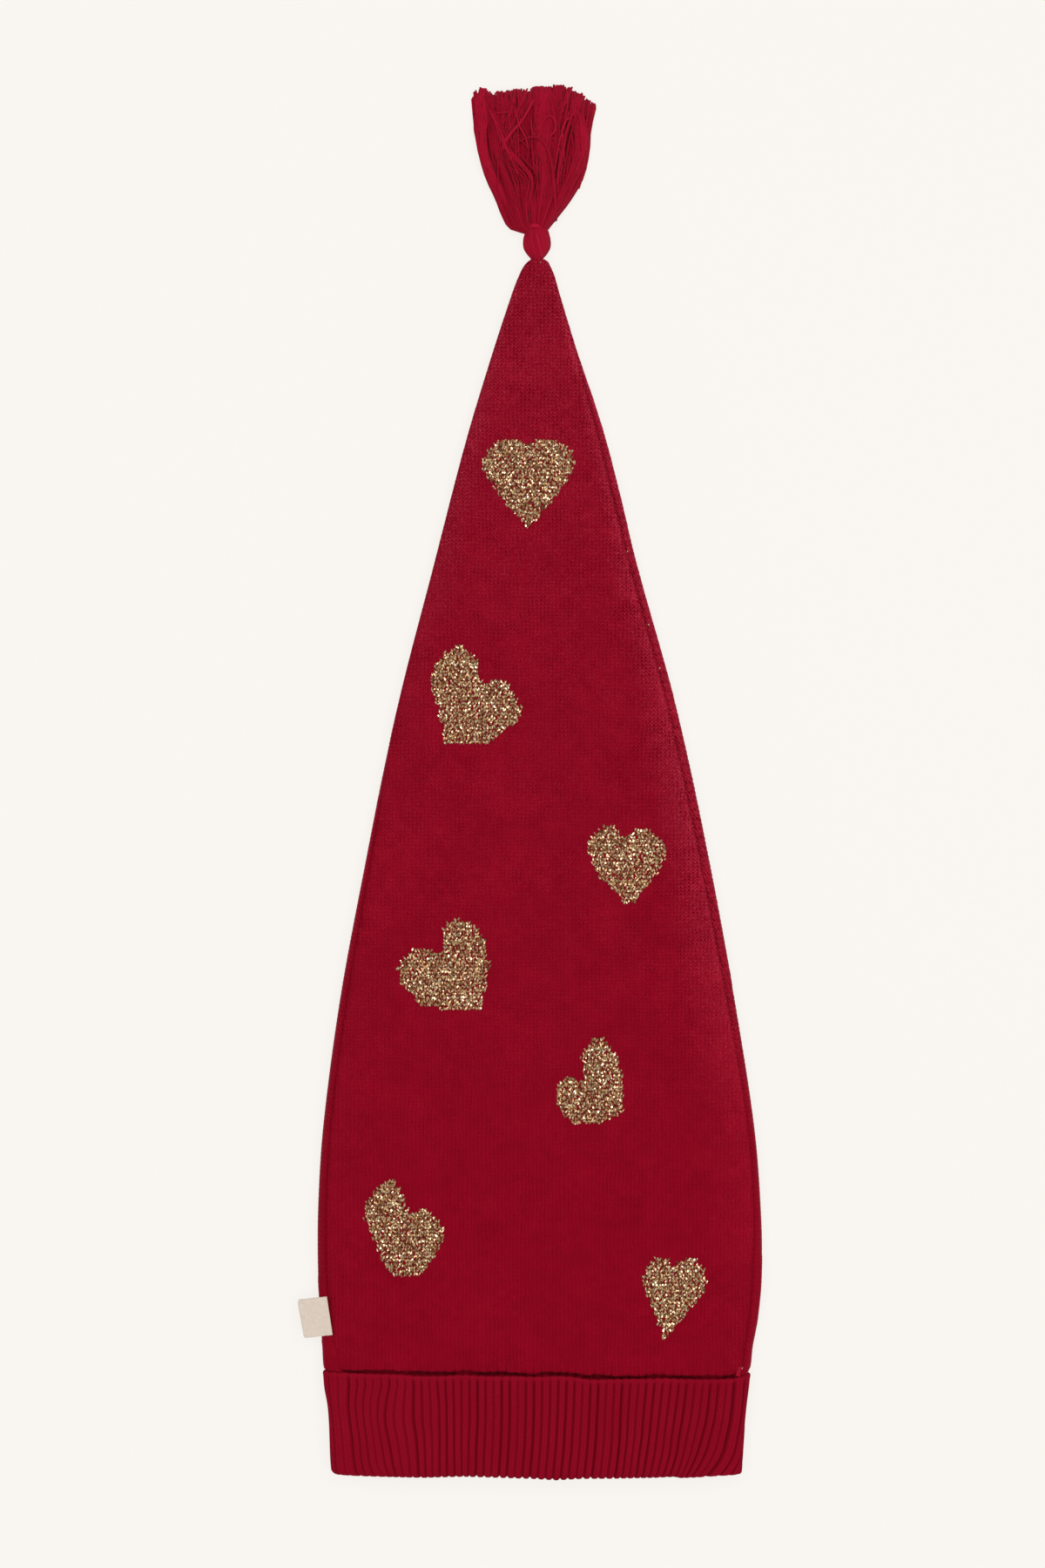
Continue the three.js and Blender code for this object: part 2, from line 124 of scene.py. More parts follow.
def setStudio():
    look = studio
    camera = addToScene("camera", bpy.data.cameras.new("camera"))
    camera.data.lens = look["lens"]
    camera.data.sensor_width = look["sensor"]
    camera.data.clip_end = look["clipEnd"]
    distance = look["photoTall"] * look["lens"] / look["sensor"]
    camera.location = toFrame((look["centreX"], look["centreUp"], look["focusHeight"] + distance))
    scene.camera = camera

    lamp = addToScene("softbox", bpy.data.lights.new("softbox", "AREA"))
    lamp.data.size = look["lampSize"]
    lamp.data.energy = look["lampEnergy"]
    (aside, ahead), height = look["lampOffset"], look["lampHeight"]
    lamp.location = (aside, ahead, height)
    lamp.rotation_euler = (-math.atan2(ahead, height), math.atan2(aside, height), 0)

    scene.world = bpy.data.worlds.new("sky")
    scene.world.use_nodes = True
    sky = scene.world.node_tree.nodes["Background"]
    sky.inputs["Color"].default_value = linear(look["skyColour"])
    sky.inputs["Strength"].default_value = look["skyStrength"]

    # Backlit matt acrylic: an even pale ground that takes only faint shadows
    board, tree, place = newMaterial("backlitMattAcrylic")
    grain = addNode(tree, "TexNoise", {"Scale": 900.0, "Detail": 3.0, "Vector": place})
    finishMaterial(tree, grain, 0.05, 0.0002, {
        "Base Color": linear(look["floorColour"]), "Roughness": 0.9, "Specular IOR Level": 0.1,
        "Emission Color": linear(look["floorGlow"]), "Emission Strength": look["floorGlowStrength"],
    })
    # Round, and swept up far out like a studio cove, so that a low view sees no edge
    turns = np.linspace(0, 2 * math.pi, look["floorSides"], endpoint=False)
    sweep = np.linspace(0, math.pi / 2, look["sweepSteps"] + 1)
    reach = look["floorReach"] + look["floorSweep"] * np.sin(sweep)
    rise = look["floorSweep"] * (1 - np.cos(sweep))
    points = [(r * math.cos(t), r * math.sin(t), h) for r, h in zip(reach, rise) for t in turns]
    ids = np.arange(len(points)).reshape(-1, len(turns))
    after = np.roll(ids, -1, axis=1)
    walls = np.stack([ids[:-1], after[:-1], after[1:], ids[1:]], -1).reshape(-1, 4).tolist()
    mesh = bpy.data.meshes.new("table")
    mesh.from_pydata(points, [], [ids[0].tolist()] + walls)
    mesh.polygons.foreach_set("use_smooth", [False] + [True] * len(walls))
    mesh.materials.append(board)
    table = addToScene("table", mesh)
    table.location.z = -look["floorDrop"]
    table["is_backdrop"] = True


setStudio()
print("studio: camera, softbox, sky and table")


# Outline of the flattened hat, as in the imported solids: half widths, height of the dome, of the widest point
# and of the underside, and how far in from the outline the side seams lie
columns = ("up", "left", "right", "top", "side", "base", "seamLeft", "seamRight")
cuffTable = np.array([
    (0, 98.9, 98.8, 19.6, 6.4, 0, 12, 7.2),
    (10, 99.7, 99.4, 20, 6.4, 0, 12, 7.2),
    (26.5, 100.3, 100.5, 20.3, 6.4, 0, 12, 7.2),
    (35, 101, 101.3, 20.4, 6.4, 0, 12, 7.2),
    (44, 102.6, 102.5, 20.4, 6.4, 0, 12, 7.2),
    (50.8, 103.1, 103.1, 20.4, 6.4, 0, 12, 7.2),
])
crownTable = np.array([
    (38.6, 99.1, 98.7, 17.2, 6.4, 3.2, 8.4, 5.6),
    (50.8, 101.6, 101.9, 17.2, 6.4, 3.2, 8.2, 4.6),
    (53, 103, 103.2, 17.3, 6.4, 2.6, 8, 4.2),
    (62, 103.6, 104.3, 17.9, 6.2, 0.8, 7, 4.1),
    (74, 104.4, 106.4, 18.6, 6, 0, 5.6, 4.4),
    (95, 105.6, 108.6, 19, 6, 0, 4.4, 4.8),
    (130, 105.6, 108.2, 19, 6, 0, 4, 3.6),
    (170, 103.1, 104.9, 18.6, 6, 0, 3.8, 3.2),
    (230, 95.1, 95.6, 18, 6, 0, 3.4, 3.8),
    (300, 82.1, 82.8, 17.4, 6, 0, 2.4, 4.4),
    (370, 67.7, 67.7, 16.6, 5.8, 0, 0.4, 4.1),
    (440, 49.8, 48.5, 15.6, 5.6, 0, 0.35, 3.6),
    (500, 34.2, 33.6, 14.2, 5.4, 0, 0.3, 3.4),
    (545, 20.6, 18.9, 12.4, 5.2, 0, 0.3, 1),
    (572, 11.6, 10.6, 10.8, 5, 0, 0.3, 0.3),
    (579.7, 8.6, 8.4, 10.2, 5.1, 0.5, 0.25, 0.25),
    (584, 6.4, 6.6, 9.9, 5.3, 1.4, 0.25, 0.25),
    (586.2, 4.5, 5.4, 9.6, 5.5, 1.9, 0.25, 0.25),
    (587.6, 2.4, 3.4, 9.2, 5.7, 2.4, 0.25, 0.25),
])
fringeTable = np.array([
    (600.0, 3.4, 3.4, 8.9, 5.8, 2.7, 0, 0),
    (600.5, 6.3, 4.4, 9.3, 5.6, 2.2, 0, 0),
    (602.7, 13, 5.8, 10.6, 5, 1, 0, 0),
    (608.6, 16.9, 10.4, 12, 4.6, 0, 0, 0),
    (617.3, 20.3, 17, 12.6, 4.4, 0, 0, 0),
    (628, 25.2, 22.9, 11.8, 4.1, 0, 0, 0),
    (641, 28.8, 25.7, 10.4, 3.8, 0, 0, 0),
    (651, 30.4, 26.4, 9.4, 3.6, 0, 0, 0),
    (672, 32.4, 31.5, 7, 3.2, 0, 0, 0),
])
section = {"domePower": 4, "foldReach": 9.2, "foldShare": 0.75, "crownWall": 2.4, "tipWallShare": 0.42}


def unit(value):
    return np.clip(value, 0, 1)


def bell(value):
    return np.exp(-value ** 2)


def smoothStep(t):
    t = unit(t)
    return t * t * (3 - 2 * t)


def tableAt(table, up):
    up = np.asarray(up, float)
    ups = table[:, 0]
    low = np.clip(np.searchsorted(ups, up, side="right") - 1, 0, len(ups) - 2)
    before, after = np.maximum(low - 1, 0), np.minimum(low + 2, len(ups) - 1)
    start, end = table[low], table[low + 1]
    span = (ups[low + 1] - ups[low])[..., None]
    t = (up - ups[low])[..., None] / span
    startSlope = (end - table[before]) / (ups[low + 1] - ups[before])[..., None] * span
    endSlope = (table[after] - start) / (ups[after] - ups[low])[..., None] * span
    swing = end - start
    value = start + startSlope * t + (3 * swing - 2 * startSlope - endSlope) * t ** 2
    return value + (startSlope + endSlope - 2 * swing) * t ** 3


def rowsAt(table, up):
    value = tableAt(table, up)
    return {key: value[..., k] for k, key in enumerate(columns)}


def dome(share, row, inset=0.0):
    power = section["domePower"]
    arch = unit(1 - np.abs(share) ** power) ** (1 / power)
    return row["side"] + (row["top"] - inset - row["side"]) * arch


def halfAt(x, row):
    return np.where(x < 0, row["left"], row["right"])


def fromSeamAt(x, row):
    return halfAt(x, row) - np.where(x < 0, row["seamLeft"], row["seamRight"]) - np.abs(x)


# Way round the section: -1 to 1 over the domed top, to 2 round the side fold, to 3 at the middle of the
# underside, where it goes on from -3
def sectionPoint(row, turn, inset=0.0):
    turn = np.where(turn > 3, turn - 6, turn)
    sign, amount = np.where(turn < 0, -1.0, 1.0), np.abs(turn)
    half = halfAt(turn, row)
    fold = np.maximum(np.minimum(section["foldReach"], section["foldShare"] * half) - inset, 0.3)
    angle = (np.clip(amount, 1, 2) - 1) * math.pi / 2
    wide = half - inset
    x = np.where(amount <= 1, wide * amount, wide - fold * (1 - np.cos(angle)))
    x = np.where(amount > 2, (wide - fold) * (3 - amount), x)
    z = row["side"] - (row["side"] - row["base"] - inset) * np.sin(angle)
    z = np.where(amount <= 1, dome(amount, row, inset), z)
    return sign * x, z


def runAlong(x, z):
    return np.append(0, np.cumsum(np.hypot(np.diff(x), np.diff(z))))


# Smooth noise from -1 to 1 with bumps of a given size in mm
def softNoise(x, y, size, seed):
    wide, high = 97, 89
    grid = np.random.default_rng(seed).uniform(-1, 1, (wide, high))
    gx, gy = np.asarray(x) / size + 40.3, np.asarray(y) / size + 11.7
    ix, iy = np.floor(gx).astype(int), np.floor(gy).astype(int)
    fx, fy = gx - ix, gy - iy
    fx, fy = fx * fx * (3 - 2 * fx), fy * fy * (3 - 2 * fy)
    corner = lambda a, b: grid[(ix + a) % wide, (iy + b) % high]
    near, far = (corner(0, b) * (1 - fx) + corner(1, b) * fx for b in (0, 1))
    return near * (1 - fy) + far * fy


# Two triangles to each cell of a grid of point numbers, and a grid closed on itself
def cells(ids):
    a, b, c, d = ids[:-1, :-1], ids[:-1, 1:], ids[1:, 1:], ids[1:, :-1]
    return np.concatenate([np.stack(corners, -1).reshape(-1, 3) for corners in ((a, b, c), (a, c, d))])


def closed(ids, axis):
    return np.concatenate([ids, ids.take([0], axis)], axis)


# A piece from points in mm and triangles, with values that its material reads at each point
def makePiece(name, points, triangles, values, material, smooth):
    points, triangles = np.asarray(points, float), np.asarray(triangles, int)
    a, b, c = (points[triangles[:, k]] for k in range(3))
    if np.einsum("ij,ij->", a, np.cross(b, c)) < 0:
        triangles = triangles[:, ::-1]
    mesh = bpy.data.meshes.new(name)
    mesh.from_pydata(toFrame(points), [], triangles.tolist())
    for key, value in values.items():
        value = np.asarray(value, np.float32)
        wide = value.ndim > 1
        attribute = mesh.attributes.new(key, "FLOAT_VECTOR" if wide else "FLOAT", "POINT")
        attribute.data.foreach_set("vector" if wide else "value", value.ravel())
    if smooth:
        mesh.shade_smooth()
    mesh.materials.append(material)
    piece = addToScene(name, mesh)
    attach(piece, "root")
    print(f"{name}: {len(triangles)} triangles")
    return piece


# Triangles between two lists of points that run the same way
def zipLists(a, aPlace, b, bPlace, flip=False):
    i = j = 0
    found = []
    while i < len(a) - 1 or j < len(b) - 1:
        if j == len(b) - 1 or (i < len(a) - 1 and aPlace[i + 1] <= bPlace[j + 1]):
            found.append((a[i], a[i + 1], b[j]))
            i += 1
        else:
            found.append((a[i], b[j + 1], b[j]))
            j += 1
    return [t[::-1] for t in found] if flip else found


# Triangles between two courses: edge stitches at both sides, and numbered wales between them
def joinCourses(a, b, number):
    low, high = max(a["first"], b["first"]), min(a["last"], b["last"])
    if high <= low:
        return zipLists(a["ids"], a["place"], b["ids"], b["place"])
    parts = []
    for row in (a, b):
        start, end = (row["edge"] - row["first"] + wale for wale in (low, high))
        parts.append((row["ids"][:start + 1], row["ids"][start:end + 1], row["ids"][end:]))
    (aStart, aMiddle, aEnd), (bStart, bMiddle, bEnd) = parts
    found = zipLists(aStart, range(len(aStart)), bStart, range(len(bStart)))
    found += zipLists(aEnd, range(-len(aEnd), 0), bEnd, range(-len(bEnd), 0))
    a0, a1, b0, b1 = aMiddle[:-1], aMiddle[1:], bMiddle[:-1], bMiddle[1:]
    rising = ((np.arange(low, high) + number) % 2 == 1)[:, None]
    one = np.where(rising, np.stack([a0, a1, b1], 1), np.stack([a0, a1, b0], 1))
    two = np.where(rising, np.stack([a0, b1, b0], 1), np.stack([a1, b1, b0], 1))
    return found + one.tolist() + two.tolist()


# Closed cloth: courses on the outside, a coarser grid inside, and a rim between them
def clothShell(courses, inside, rowUps, insideUps):
    triangles = cells(inside)[:, ::-1].tolist()
    for number in range(len(courses) - 1):
        triangles += joinCourses(courses[number], courses[number + 1], number)
    for side, flip in ((0, True), (-1, False)):
        edge = [course["ids"][side] for course in courses]
        triangles += zipLists(inside[:, side], insideUps, edge, rowUps, flip=flip)
        place = courses[side]["place"]
        place = (place - place[0]) / (place[-1] - place[0])
        across = np.linspace(0, 1, inside.shape[1])
        triangles += zipLists(inside[side], across, courses[side]["ids"], place, flip=not flip)
    return triangles


# Cotton yarn in jersey: matt, soft, with painted shade in the pits between stitches, and pale loose fibre with
# painted sheen
def knitMaterial(name, look):
    material, tree, place = newMaterial(name)
    stitch, relief, fibreAndSheen = (
        addNode(tree, "Attribute", {"attribute_name": key}) for key in ("stitch", "relief", "fibreAndSheen")
    )
    wale, course, height = addNode(tree, "SeparateXYZ", {0: stitch.outputs["Vector"]}).outputs
    # Two legs to a wale, slanting into a V at each course
    leg = addNode(tree, "Math", {"operation": "PINGPONG", 0: wale, 1: 0.5})
    turn = addNode(tree, "Math", {"operation": "MULTIPLY", 0: leg, 1: 2 * math.pi})
    ridge = addNode(tree, "Math", {"operation": "SINE", 0: turn})
    crest = addNode(tree, "Math", {"operation": "MULTIPLY_ADD", 0: ridge, 1: 0.5, 2: 0.5})
    slant = addNode(tree, "Math", {"operation": "MULTIPLY_ADD", 0: leg, 1: look["slant"], 2: course})
    beat = addNode(tree, "Math", {"operation": "PINGPONG", 0: slant, 1: 0.5})
    bead = addNode(tree, "Math", {"operation": "MULTIPLY_ADD", 0: beat, 1: 1.8, 2: 0.1})
    both = addNode(tree, "Math", {"operation": "MULTIPLY_ADD", 0: crest, 1: bead, 2: -0.45})
    yarn = addNode(tree, "Math", {"operation": "MULTIPLY", 0: both, 1: relief.outputs["Fac"]})
    # Loose fibre about 0.7 mm long, and slow changes of tension over about 22 mm
    fibre = addNode(tree, "TexNoise", {"Scale": 1450.0, "Detail": 2.0, "Vector": place})
    tension = addNode(tree, "TexNoise", {"Scale": 45.0, "Detail": 2.0, "Vector": place})
    # Painted shade: the V of the legs and each point's brightness darken the colour towards the pit colour
    depth = addNode(tree, "Math", {"operation": "MULTIPLY_ADD", 0: yarn, 1: look["yarnTone"], 2: height})
    lit = addNode(tree, "MapRange", {
        "Value": depth, "From Min": look["toneLow"], "From Max": look["toneHigh"],
    })
    colour = addNode(tree, "Mix", {
        "data_type": "RGBA", 0: lit, 6: linear(look["pit"]), 7: linear(look["yarn"]),
    })
    cloud = addNode(tree, "MapRange", {
        "Value": tension, "From Min": 0.35, "From Max": 0.65, "To Min": 0.0, "To Max": look["cloud"],
    })
    shade = addNode(tree, "Mix", {"data_type": "RGBA", 0: cloud, 6: colour, 7: linear(look["deep"])})
    # Pale ends of fibre that stand out of the yarn, with painted sheen on the stitch tops and where the cloth
    # turns away
    ends = addNode(tree, "MapRange", {
        "Value": fibre, "From Min": 0.46, "From Max": 0.7, "To Min": 0.15, "To Max": 1.5,
    })
    tops = addNode(tree, "MapRange", {"Value": lit, "From Min": 0.35, "From Max": 0.85})
    fibreSheenShare = addNode(tree, "Math", {"operation": "MULTIPLY", 0: ends, 1: fibreAndSheen.outputs["Fac"]})
    fuzzAndSheen = addNode(tree, "Math", {"operation": "MULTIPLY", 0: tops, 1: fibreSheenShare})
    withFuzzAndSheen = addNode(tree, "Mix", {"data_type": "RGBA", 0: fuzzAndSheen, 6: shade, 7: linear(look["fuzzAndSheen"])})
    raised = addNode(tree, "Math", {"operation": "MULTIPLY_ADD", 0: fibre, 1: 0.35, 2: yarn})
    finishMaterial(tree, raised, look["bump"], 0.0004, {
        "Base Color": withFuzzAndSheen, "Roughness": 0.92, "IOR": 1.53, "Specular IOR Level": 0.01,
        "Sheen Weight": look["sheen"], "Sheen Roughness": 0.4, "Sheen Tint": linear(look["fibreAndSheen"]),
    })
    return material


cottonJersey = knitMaterial("cottonJersey", {
    # The pit colour is painted shade in the pits; the fuzz colour is pale fibre with painted sheen
    "yarn": "#a20a24", "pit": "#380009", "deep": "#780318", "fibreAndSheen": "#f0a9b4", "fuzzAndSheen": "#d2566f",
    "slant": 1.0, "yarnTone": 0.6, "toneLow": -0.27, "toneHigh": 1.18, "cloud": 0.35,
    "bump": 0.35, "sheen": 0.02,
})

# Turned-up rib: its lip and foot wander a little across the front, and its grooves are shallower at the left
ribs = {
    "count": 48, "wall": 2.7, "slit": 0.5, "height": 50.8, "innerLeg": 38.3, "fold": 4.5, "depth": 0.7,
    "grooveWide": 0.7, "groovesAt": (-100, -72, -55, -35, 100), "grooves": (0.7, 0.74, 0.85, 0.95, 1.0),
    "waleDip": 0.2, "waleWide": 0.42, "legRows": 34, "spareTurn": 0.35, "scallop": 0.85, "lipNotch": 0.35,
    "fibreAndSheen": 0.01, "course": 1.5,
    "across": (0.0, 0.05, 0.11, 0.18, 0.27, 0.37, 0.45, 0.5, 0.55, 0.63, 0.73, 0.82, 0.89, 0.95),
    "lipX": (-110, -89, -67, -56, -45, -35, -25, 0, 12, 17, 24, 34, 54, 82, 92, 97, 102, 110),
    "lipUp": (
        51.8, 51.7, 51.6, 51.0, 50.8, 51.5, 51.0, 50.6, 50.9,
        50.5, 49.3, 49.5, 49.6, 49.2, 49.0, 49.4, 50.9, 51.6,
    ),
    "footX": (-110, -95, -70, -56, -35, -24, 0, 12, 24, 40, 64, 75, 80, 90, 98, 110),
    "footUp": (2.0, 2.2, 1.8, 1.6, 2.2, 1.9, 1.1, 0.4, 1.1, 1.2, 1.6, 2.1, 1.5, 1.8, 2.3, 2.3),
}


def lipHeight(x):
    x = np.asarray(x, float)
    spread = [np.interp(x + step, ribs["lipX"], ribs["lipUp"]) for step in (-3, -1.5, 0, 1.5, 3)]
    return np.mean(spread, axis=0) + 0.25 * softNoise(x, 0 * x, 9, 5)


# Front of the crown: stitches of 1.87 by 1.7 mm, two points each way to a stitch
frontKnit = {
    "wale": 1.87, "course": 1.7, "start": 45.0, "end": 587.5, "seamGap": 0.1, "stitchDepth": 0.2,
    "jitter": 0.13, "drift": 0.5, "uneven": 0.3, "seamDepth": 0.9, "seamWide": 0.8, "seamShade": 0.28,
    "mottle": 0.07, "upright": 0.45, "edgeLight": 0.2, "rimLight": 0.14, "puff": 0.3, "puffAt": 2.9,
    "puffWide": 1.6, "lipDip": 2.7, "lipDipWide": 0.8, "lipPuff": 1.9, "lipPuffReach": 16.0, "pull": 0.55,
    "pullReach": 2.6, "pullShade": 0.5, "pullShadeReach": 1.6, "ribPitch": 4.2, "insideEvery": 6, "insideColumns": 22,
    "reliefUps": (60, 190, 320, 450, 540, 587), "relief": (0.4, 0.42, 0.48, 0.62, 0.7, 0.95),
    "flat": (0.216, 0.545), "flatArea": 0.0718,
    # At the left and right edges: relief of the stitches, loose fibre with painted sheen, and the height that
    # it starts from
    "edgeRelief": (0.05, 0.85), "edgeSheen": (0.24, 0.28), "edgeSheenFrom": (330, 150),
    # Under this height the gaps between wales are drawn upright, and the stitches are flatter
    "drawnUnder": 250, "drawnReach": 120, "drawnFlat": 0.7,
}
# Gathers that rise from the cuff: place at the cuff, slant, reach, depth and width
gathers = (
    (-57, -0.22, 62, 1.2, 9), (-19.5, -0.2, 110, 1.5, 10), (22.5, -0.07, 120, 2, 11), (60, 0.12, 70, 1, 10),
)
# Heights where each side seam comes into sight and goes out of it again: it rolls under the edge near the tip
seamShow = {"left": (58, 84, 316, 352), "right": (30, 40, 520, 548)}


def seamShare(x, up):
    ways = []
    for start, full, fading, end in (seamShow["left"], seamShow["right"]):
        ways.append(unit(np.minimum((up - start) / (full - start), (end - up) / (end - fading))))
    return np.where(x < 0, *ways)


# The stitches stand out most near the tip and beside the edges, and are stretched flat near the cuff
def stitchRelief(x, up, share):
    look = frontKnit
    tall = np.interp(up, look["reliefUps"], look["relief"])
    edge = unit((share - 0.5) / 0.5) ** 2 * unit((up - 170) / 120)
    tall = tall + edge * np.where(x < 0, *look["edgeRelief"])
    return tall * (1 + 0.35 * softNoise(x, up, 6, 3) + 0.2 * softNoise(x, up, 17, 4))


# Pale fibre and painted sheen where the cloth turns away at the edges and at the tip
def fibreSheenAt(x, up, share):
    look = frontKnit
    above = up - np.where(x < 0, *look["edgeSheenFrom"])
    edge = unit((share - 0.7) / 0.3) * np.clip(above / 150, 0.1, 1)
    rising = 0.02 + 0.06 * unit((up - 120) / 260) + 0.12 * unit((up - 400) / 180)
    return rising + edge * np.where(x < 0, *look["edgeSheen"])


def frontHeight(x, up, row):
    look = frontKnit
    half = halfAt(x, row)
    share = np.abs(x) / half
    fromSeam = fromSeamAt(x, row)
    show = np.clip(half / 25, 0.25, 1) * seamShare(x, up)
    z = dome(share, row) - show * look["seamDepth"] * bell(fromSeam / look["seamWide"])
    z = z + show * look["puff"] * bell((fromSeam - look["puffAt"]) / look["puffWide"])
    rise = np.maximum(up - ribs["height"], 0)
    for place, slant, reach, depth, width in gathers:
        away = (x - place - slant * rise) / width
        z = z - depth * bell(away) * np.maximum(1 - rise / reach, 0) * (1 - share ** 4)
    lip = up - lipHeight(x)
    above = np.maximum(lip, 0)
    inner = unit(fromSeam / 9)
    z = z - look["lipDip"] * bell((lip - 0.1) / look["lipDipWide"])
    z = z + look["lipPuff"] * unit((lip - 0.3) / 1.4) * np.exp(-above / look["lipPuffReach"]) * inner
    pulled = np.exp(-above / look["pullReach"]) * unit(lip)
    z = z + look["pull"] * inner * pulled * np.cos(2 * math.pi * x / look["ribPitch"])
    return z + unit(half / 30) * (0.22 * softNoise(x, up, 26, 1) + 0.1 * softNoise(x, up, 7, 2))


# One half of the crown: its stitches outside, a plain lining inside and a rim between them
def makeCrown(name, look, courses, rowUps, outside, stitch, relief, fibreAndSheen, liningAt):
    insideUps = np.append(rowUps[:-1:look["insideEvery"]], rowUps[-1])
    across = np.linspace(0, 1, look["insideColumns"])
    row = {key: value[:, None] + 0 * across for key, value in rowsAt(crownTable, insideUps).items()}
    wall = np.minimum(section["crownWall"], section["tipWallShare"] * np.minimum(row["left"], row["right"]))
    x, z = liningAt(row, across, wall)
    inside = np.stack([x, row["up"], z], -1).reshape(-1, 3)
    ids = (len(outside) + np.arange(x.size)).reshape(x.shape)
    plain = np.full(len(inside), 0.5)
    lining = np.stack([inside[:, 0] / look["wale"], inside[:, 1] / look["course"], plain], 1)
    values = {
        "stitch": np.concatenate([stitch, lining]),
        "relief": np.append(relief, plain),
        "fibreAndSheen": np.append(fibreAndSheen, 0 * plain),
    }
    points = np.concatenate([outside, inside])
    triangles = clothShell(courses, ids, rowUps, insideUps)
    return makePiece(name, points, triangles, values, cottonJersey, False)


def knitFront():
    look = frontKnit
    step = look["wale"] / 2
    rowUps = np.arange(look["start"], look["end"], look["course"] / 2)
    rows = rowsAt(crownTable, rowUps)

    def panelEdges(row):
        low = -(row["left"] - row["seamLeft"]) + look["seamGap"]
        return low, row["right"] - row["seamRight"] - look["seamGap"]

    courses, wales, total = [], [], 0
    for low, high in zip(*panelEdges(rows)):
        first, last = math.ceil((low + 0.3) / step), math.floor((high - 0.3) / step)
        wales.append(np.arange(first - 1, last + 2))
        x = np.concatenate([[low], wales[-1][1:-1] * step, [high]])
        ids = total + np.arange(len(x))
        courses.append({"ids": ids, "place": x, "first": first, "last": last, "edge": 1})
        total += len(x)
    x, wale = np.concatenate([course["place"] for course in courses]), np.concatenate(wales)
    number = np.repeat(np.arange(len(courses)), [len(line) for line in wales])
    up = rowUps[number]
    row = {key: value[number] for key, value in rows.items()}
    pit, between = (wale + number) % 2 == 0, wale % 2 == 0
    # The gaps between wales run together into upright lines, most of all near the cuff
    low = unit((look["drawnUnder"] - up) / look["drawnReach"])
    drawn = look["upright"] + (1 - look["upright"]) * low
    size = np.where(between, 1.05, 0.55 - 0.6 * drawn) * dice.uniform(0.55, 1.45, len(x))
    crown = np.where(between, 0.2 - 0.85 * drawn, 0.62) + look["uneven"] * dice.uniform(-1, 1, len(x))
    share = np.abs(x) / halfAt(x, row)
    relief = stitchRelief(x, up, share)
    tall = np.where(pit, -size, crown) * relief
    z = frontHeight(x, up, row) + look["stitchDepth"] * tall
    fromSeam = fromSeamAt(x, row)
    # Painted shade in the troughs between the pulled stitches just above the lip
    pullShade = look["pullShade"] * np.exp(-np.maximum(up - lipHeight(x) - 0.6, 0) / look["pullShadeReach"])
    pullShade = pullShade * np.maximum(np.cos(2 * math.pi * x / look["ribPitch"] + math.pi), 0) ** 2
    # Painted shade along the seam groove, broken into dashes
    dashes = 0.6 + 0.4 * np.cos(2 * math.pi * up / 3.6 + 3 * softNoise(x, up, 9, 6))
    dark = look["seamShade"] * dashes * seamShare(x, up) * bell(fromSeam / 0.7)
    dark = dark + pullShade * np.clip((x + 75) / 40, 0.15, 1)
    # The right side catches more light, most of all along its seam
    catching = look["edgeLight"] * unit((share - 0.75) / 0.2)
    catching = catching + look["rimLight"] * bell((fromSeam - 1.7) / 0.9) * unit((up - 150) / 100)
    dark = dark - catching * (x > 0) * unit((up - 85) / 45)
    # Uneven tension mottles the cloth
    mottle = softNoise(x, up, 3.2, 31) + 0.6 * softNoise(x, up, 8, 32)
    dark = dark + look["mottle"] * mottle * (0.5 + relief)
    # Brightness of each point: painted shade in the pits, seam and troughs, painted light on the right side,
    # and the mottle of uneven tension
    stitch = np.stack([wale / 2, number / 2, np.clip(0.62 + 0.38 * tall - dark, 0, 1.3)], 1)
    fibreAndSheen = fibreSheenAt(x, up, share)
    loose = (fromSeam > 1) * (number > 0) * (number < len(rowUps) - 1)
    bent = [look["drift"] * softNoise(x, up, size, seed) for size, seed in ((6, 14), (5, 15))]
    x = x + loose * (bent[0] + look["jitter"] * dice.uniform(-1, 1, len(x)))
    up = up + loose * (bent[1] + look["jitter"] * dice.uniform(-1, 1, len(x)))

    def lining(row, across, wall):
        low, high = panelEdges(row)
        x = low + (high - low) * across
        return x, frontHeight(x, row["up"], row) - wall

    outside = np.stack([x, up, z], 1)
    flatter = relief * (1 - look["drawnFlat"] * low)
    piece = makeCrown("front_knit", look, courses, rowUps, outside, stitch, flatter, fibreAndSheen, lining)
    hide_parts("crown_front")


knitFront()

# Back of the crown, folded round to the front at both sides: its stitches are drawn a third coarser,
# as it lies underneath
backKnit = {
    "wale": 2.4, "course": 2.2, "start": 45.0, "end": 587.5, "stitchDepth": 0.22, "seamDepth": 0.8,
    "seamWide": 0.8, "margin": 15, "samples": 200, "insideEvery": 5, "insideColumns": 40,
    "flat": (0.25, 0.545), "flatArea": 0.0905,
}


def backTurns(row, share):
    start, end = 1 - row["seamRight"] / row["right"], 5 + row["seamLeft"] / row["left"]
    return start + (end - start) * share


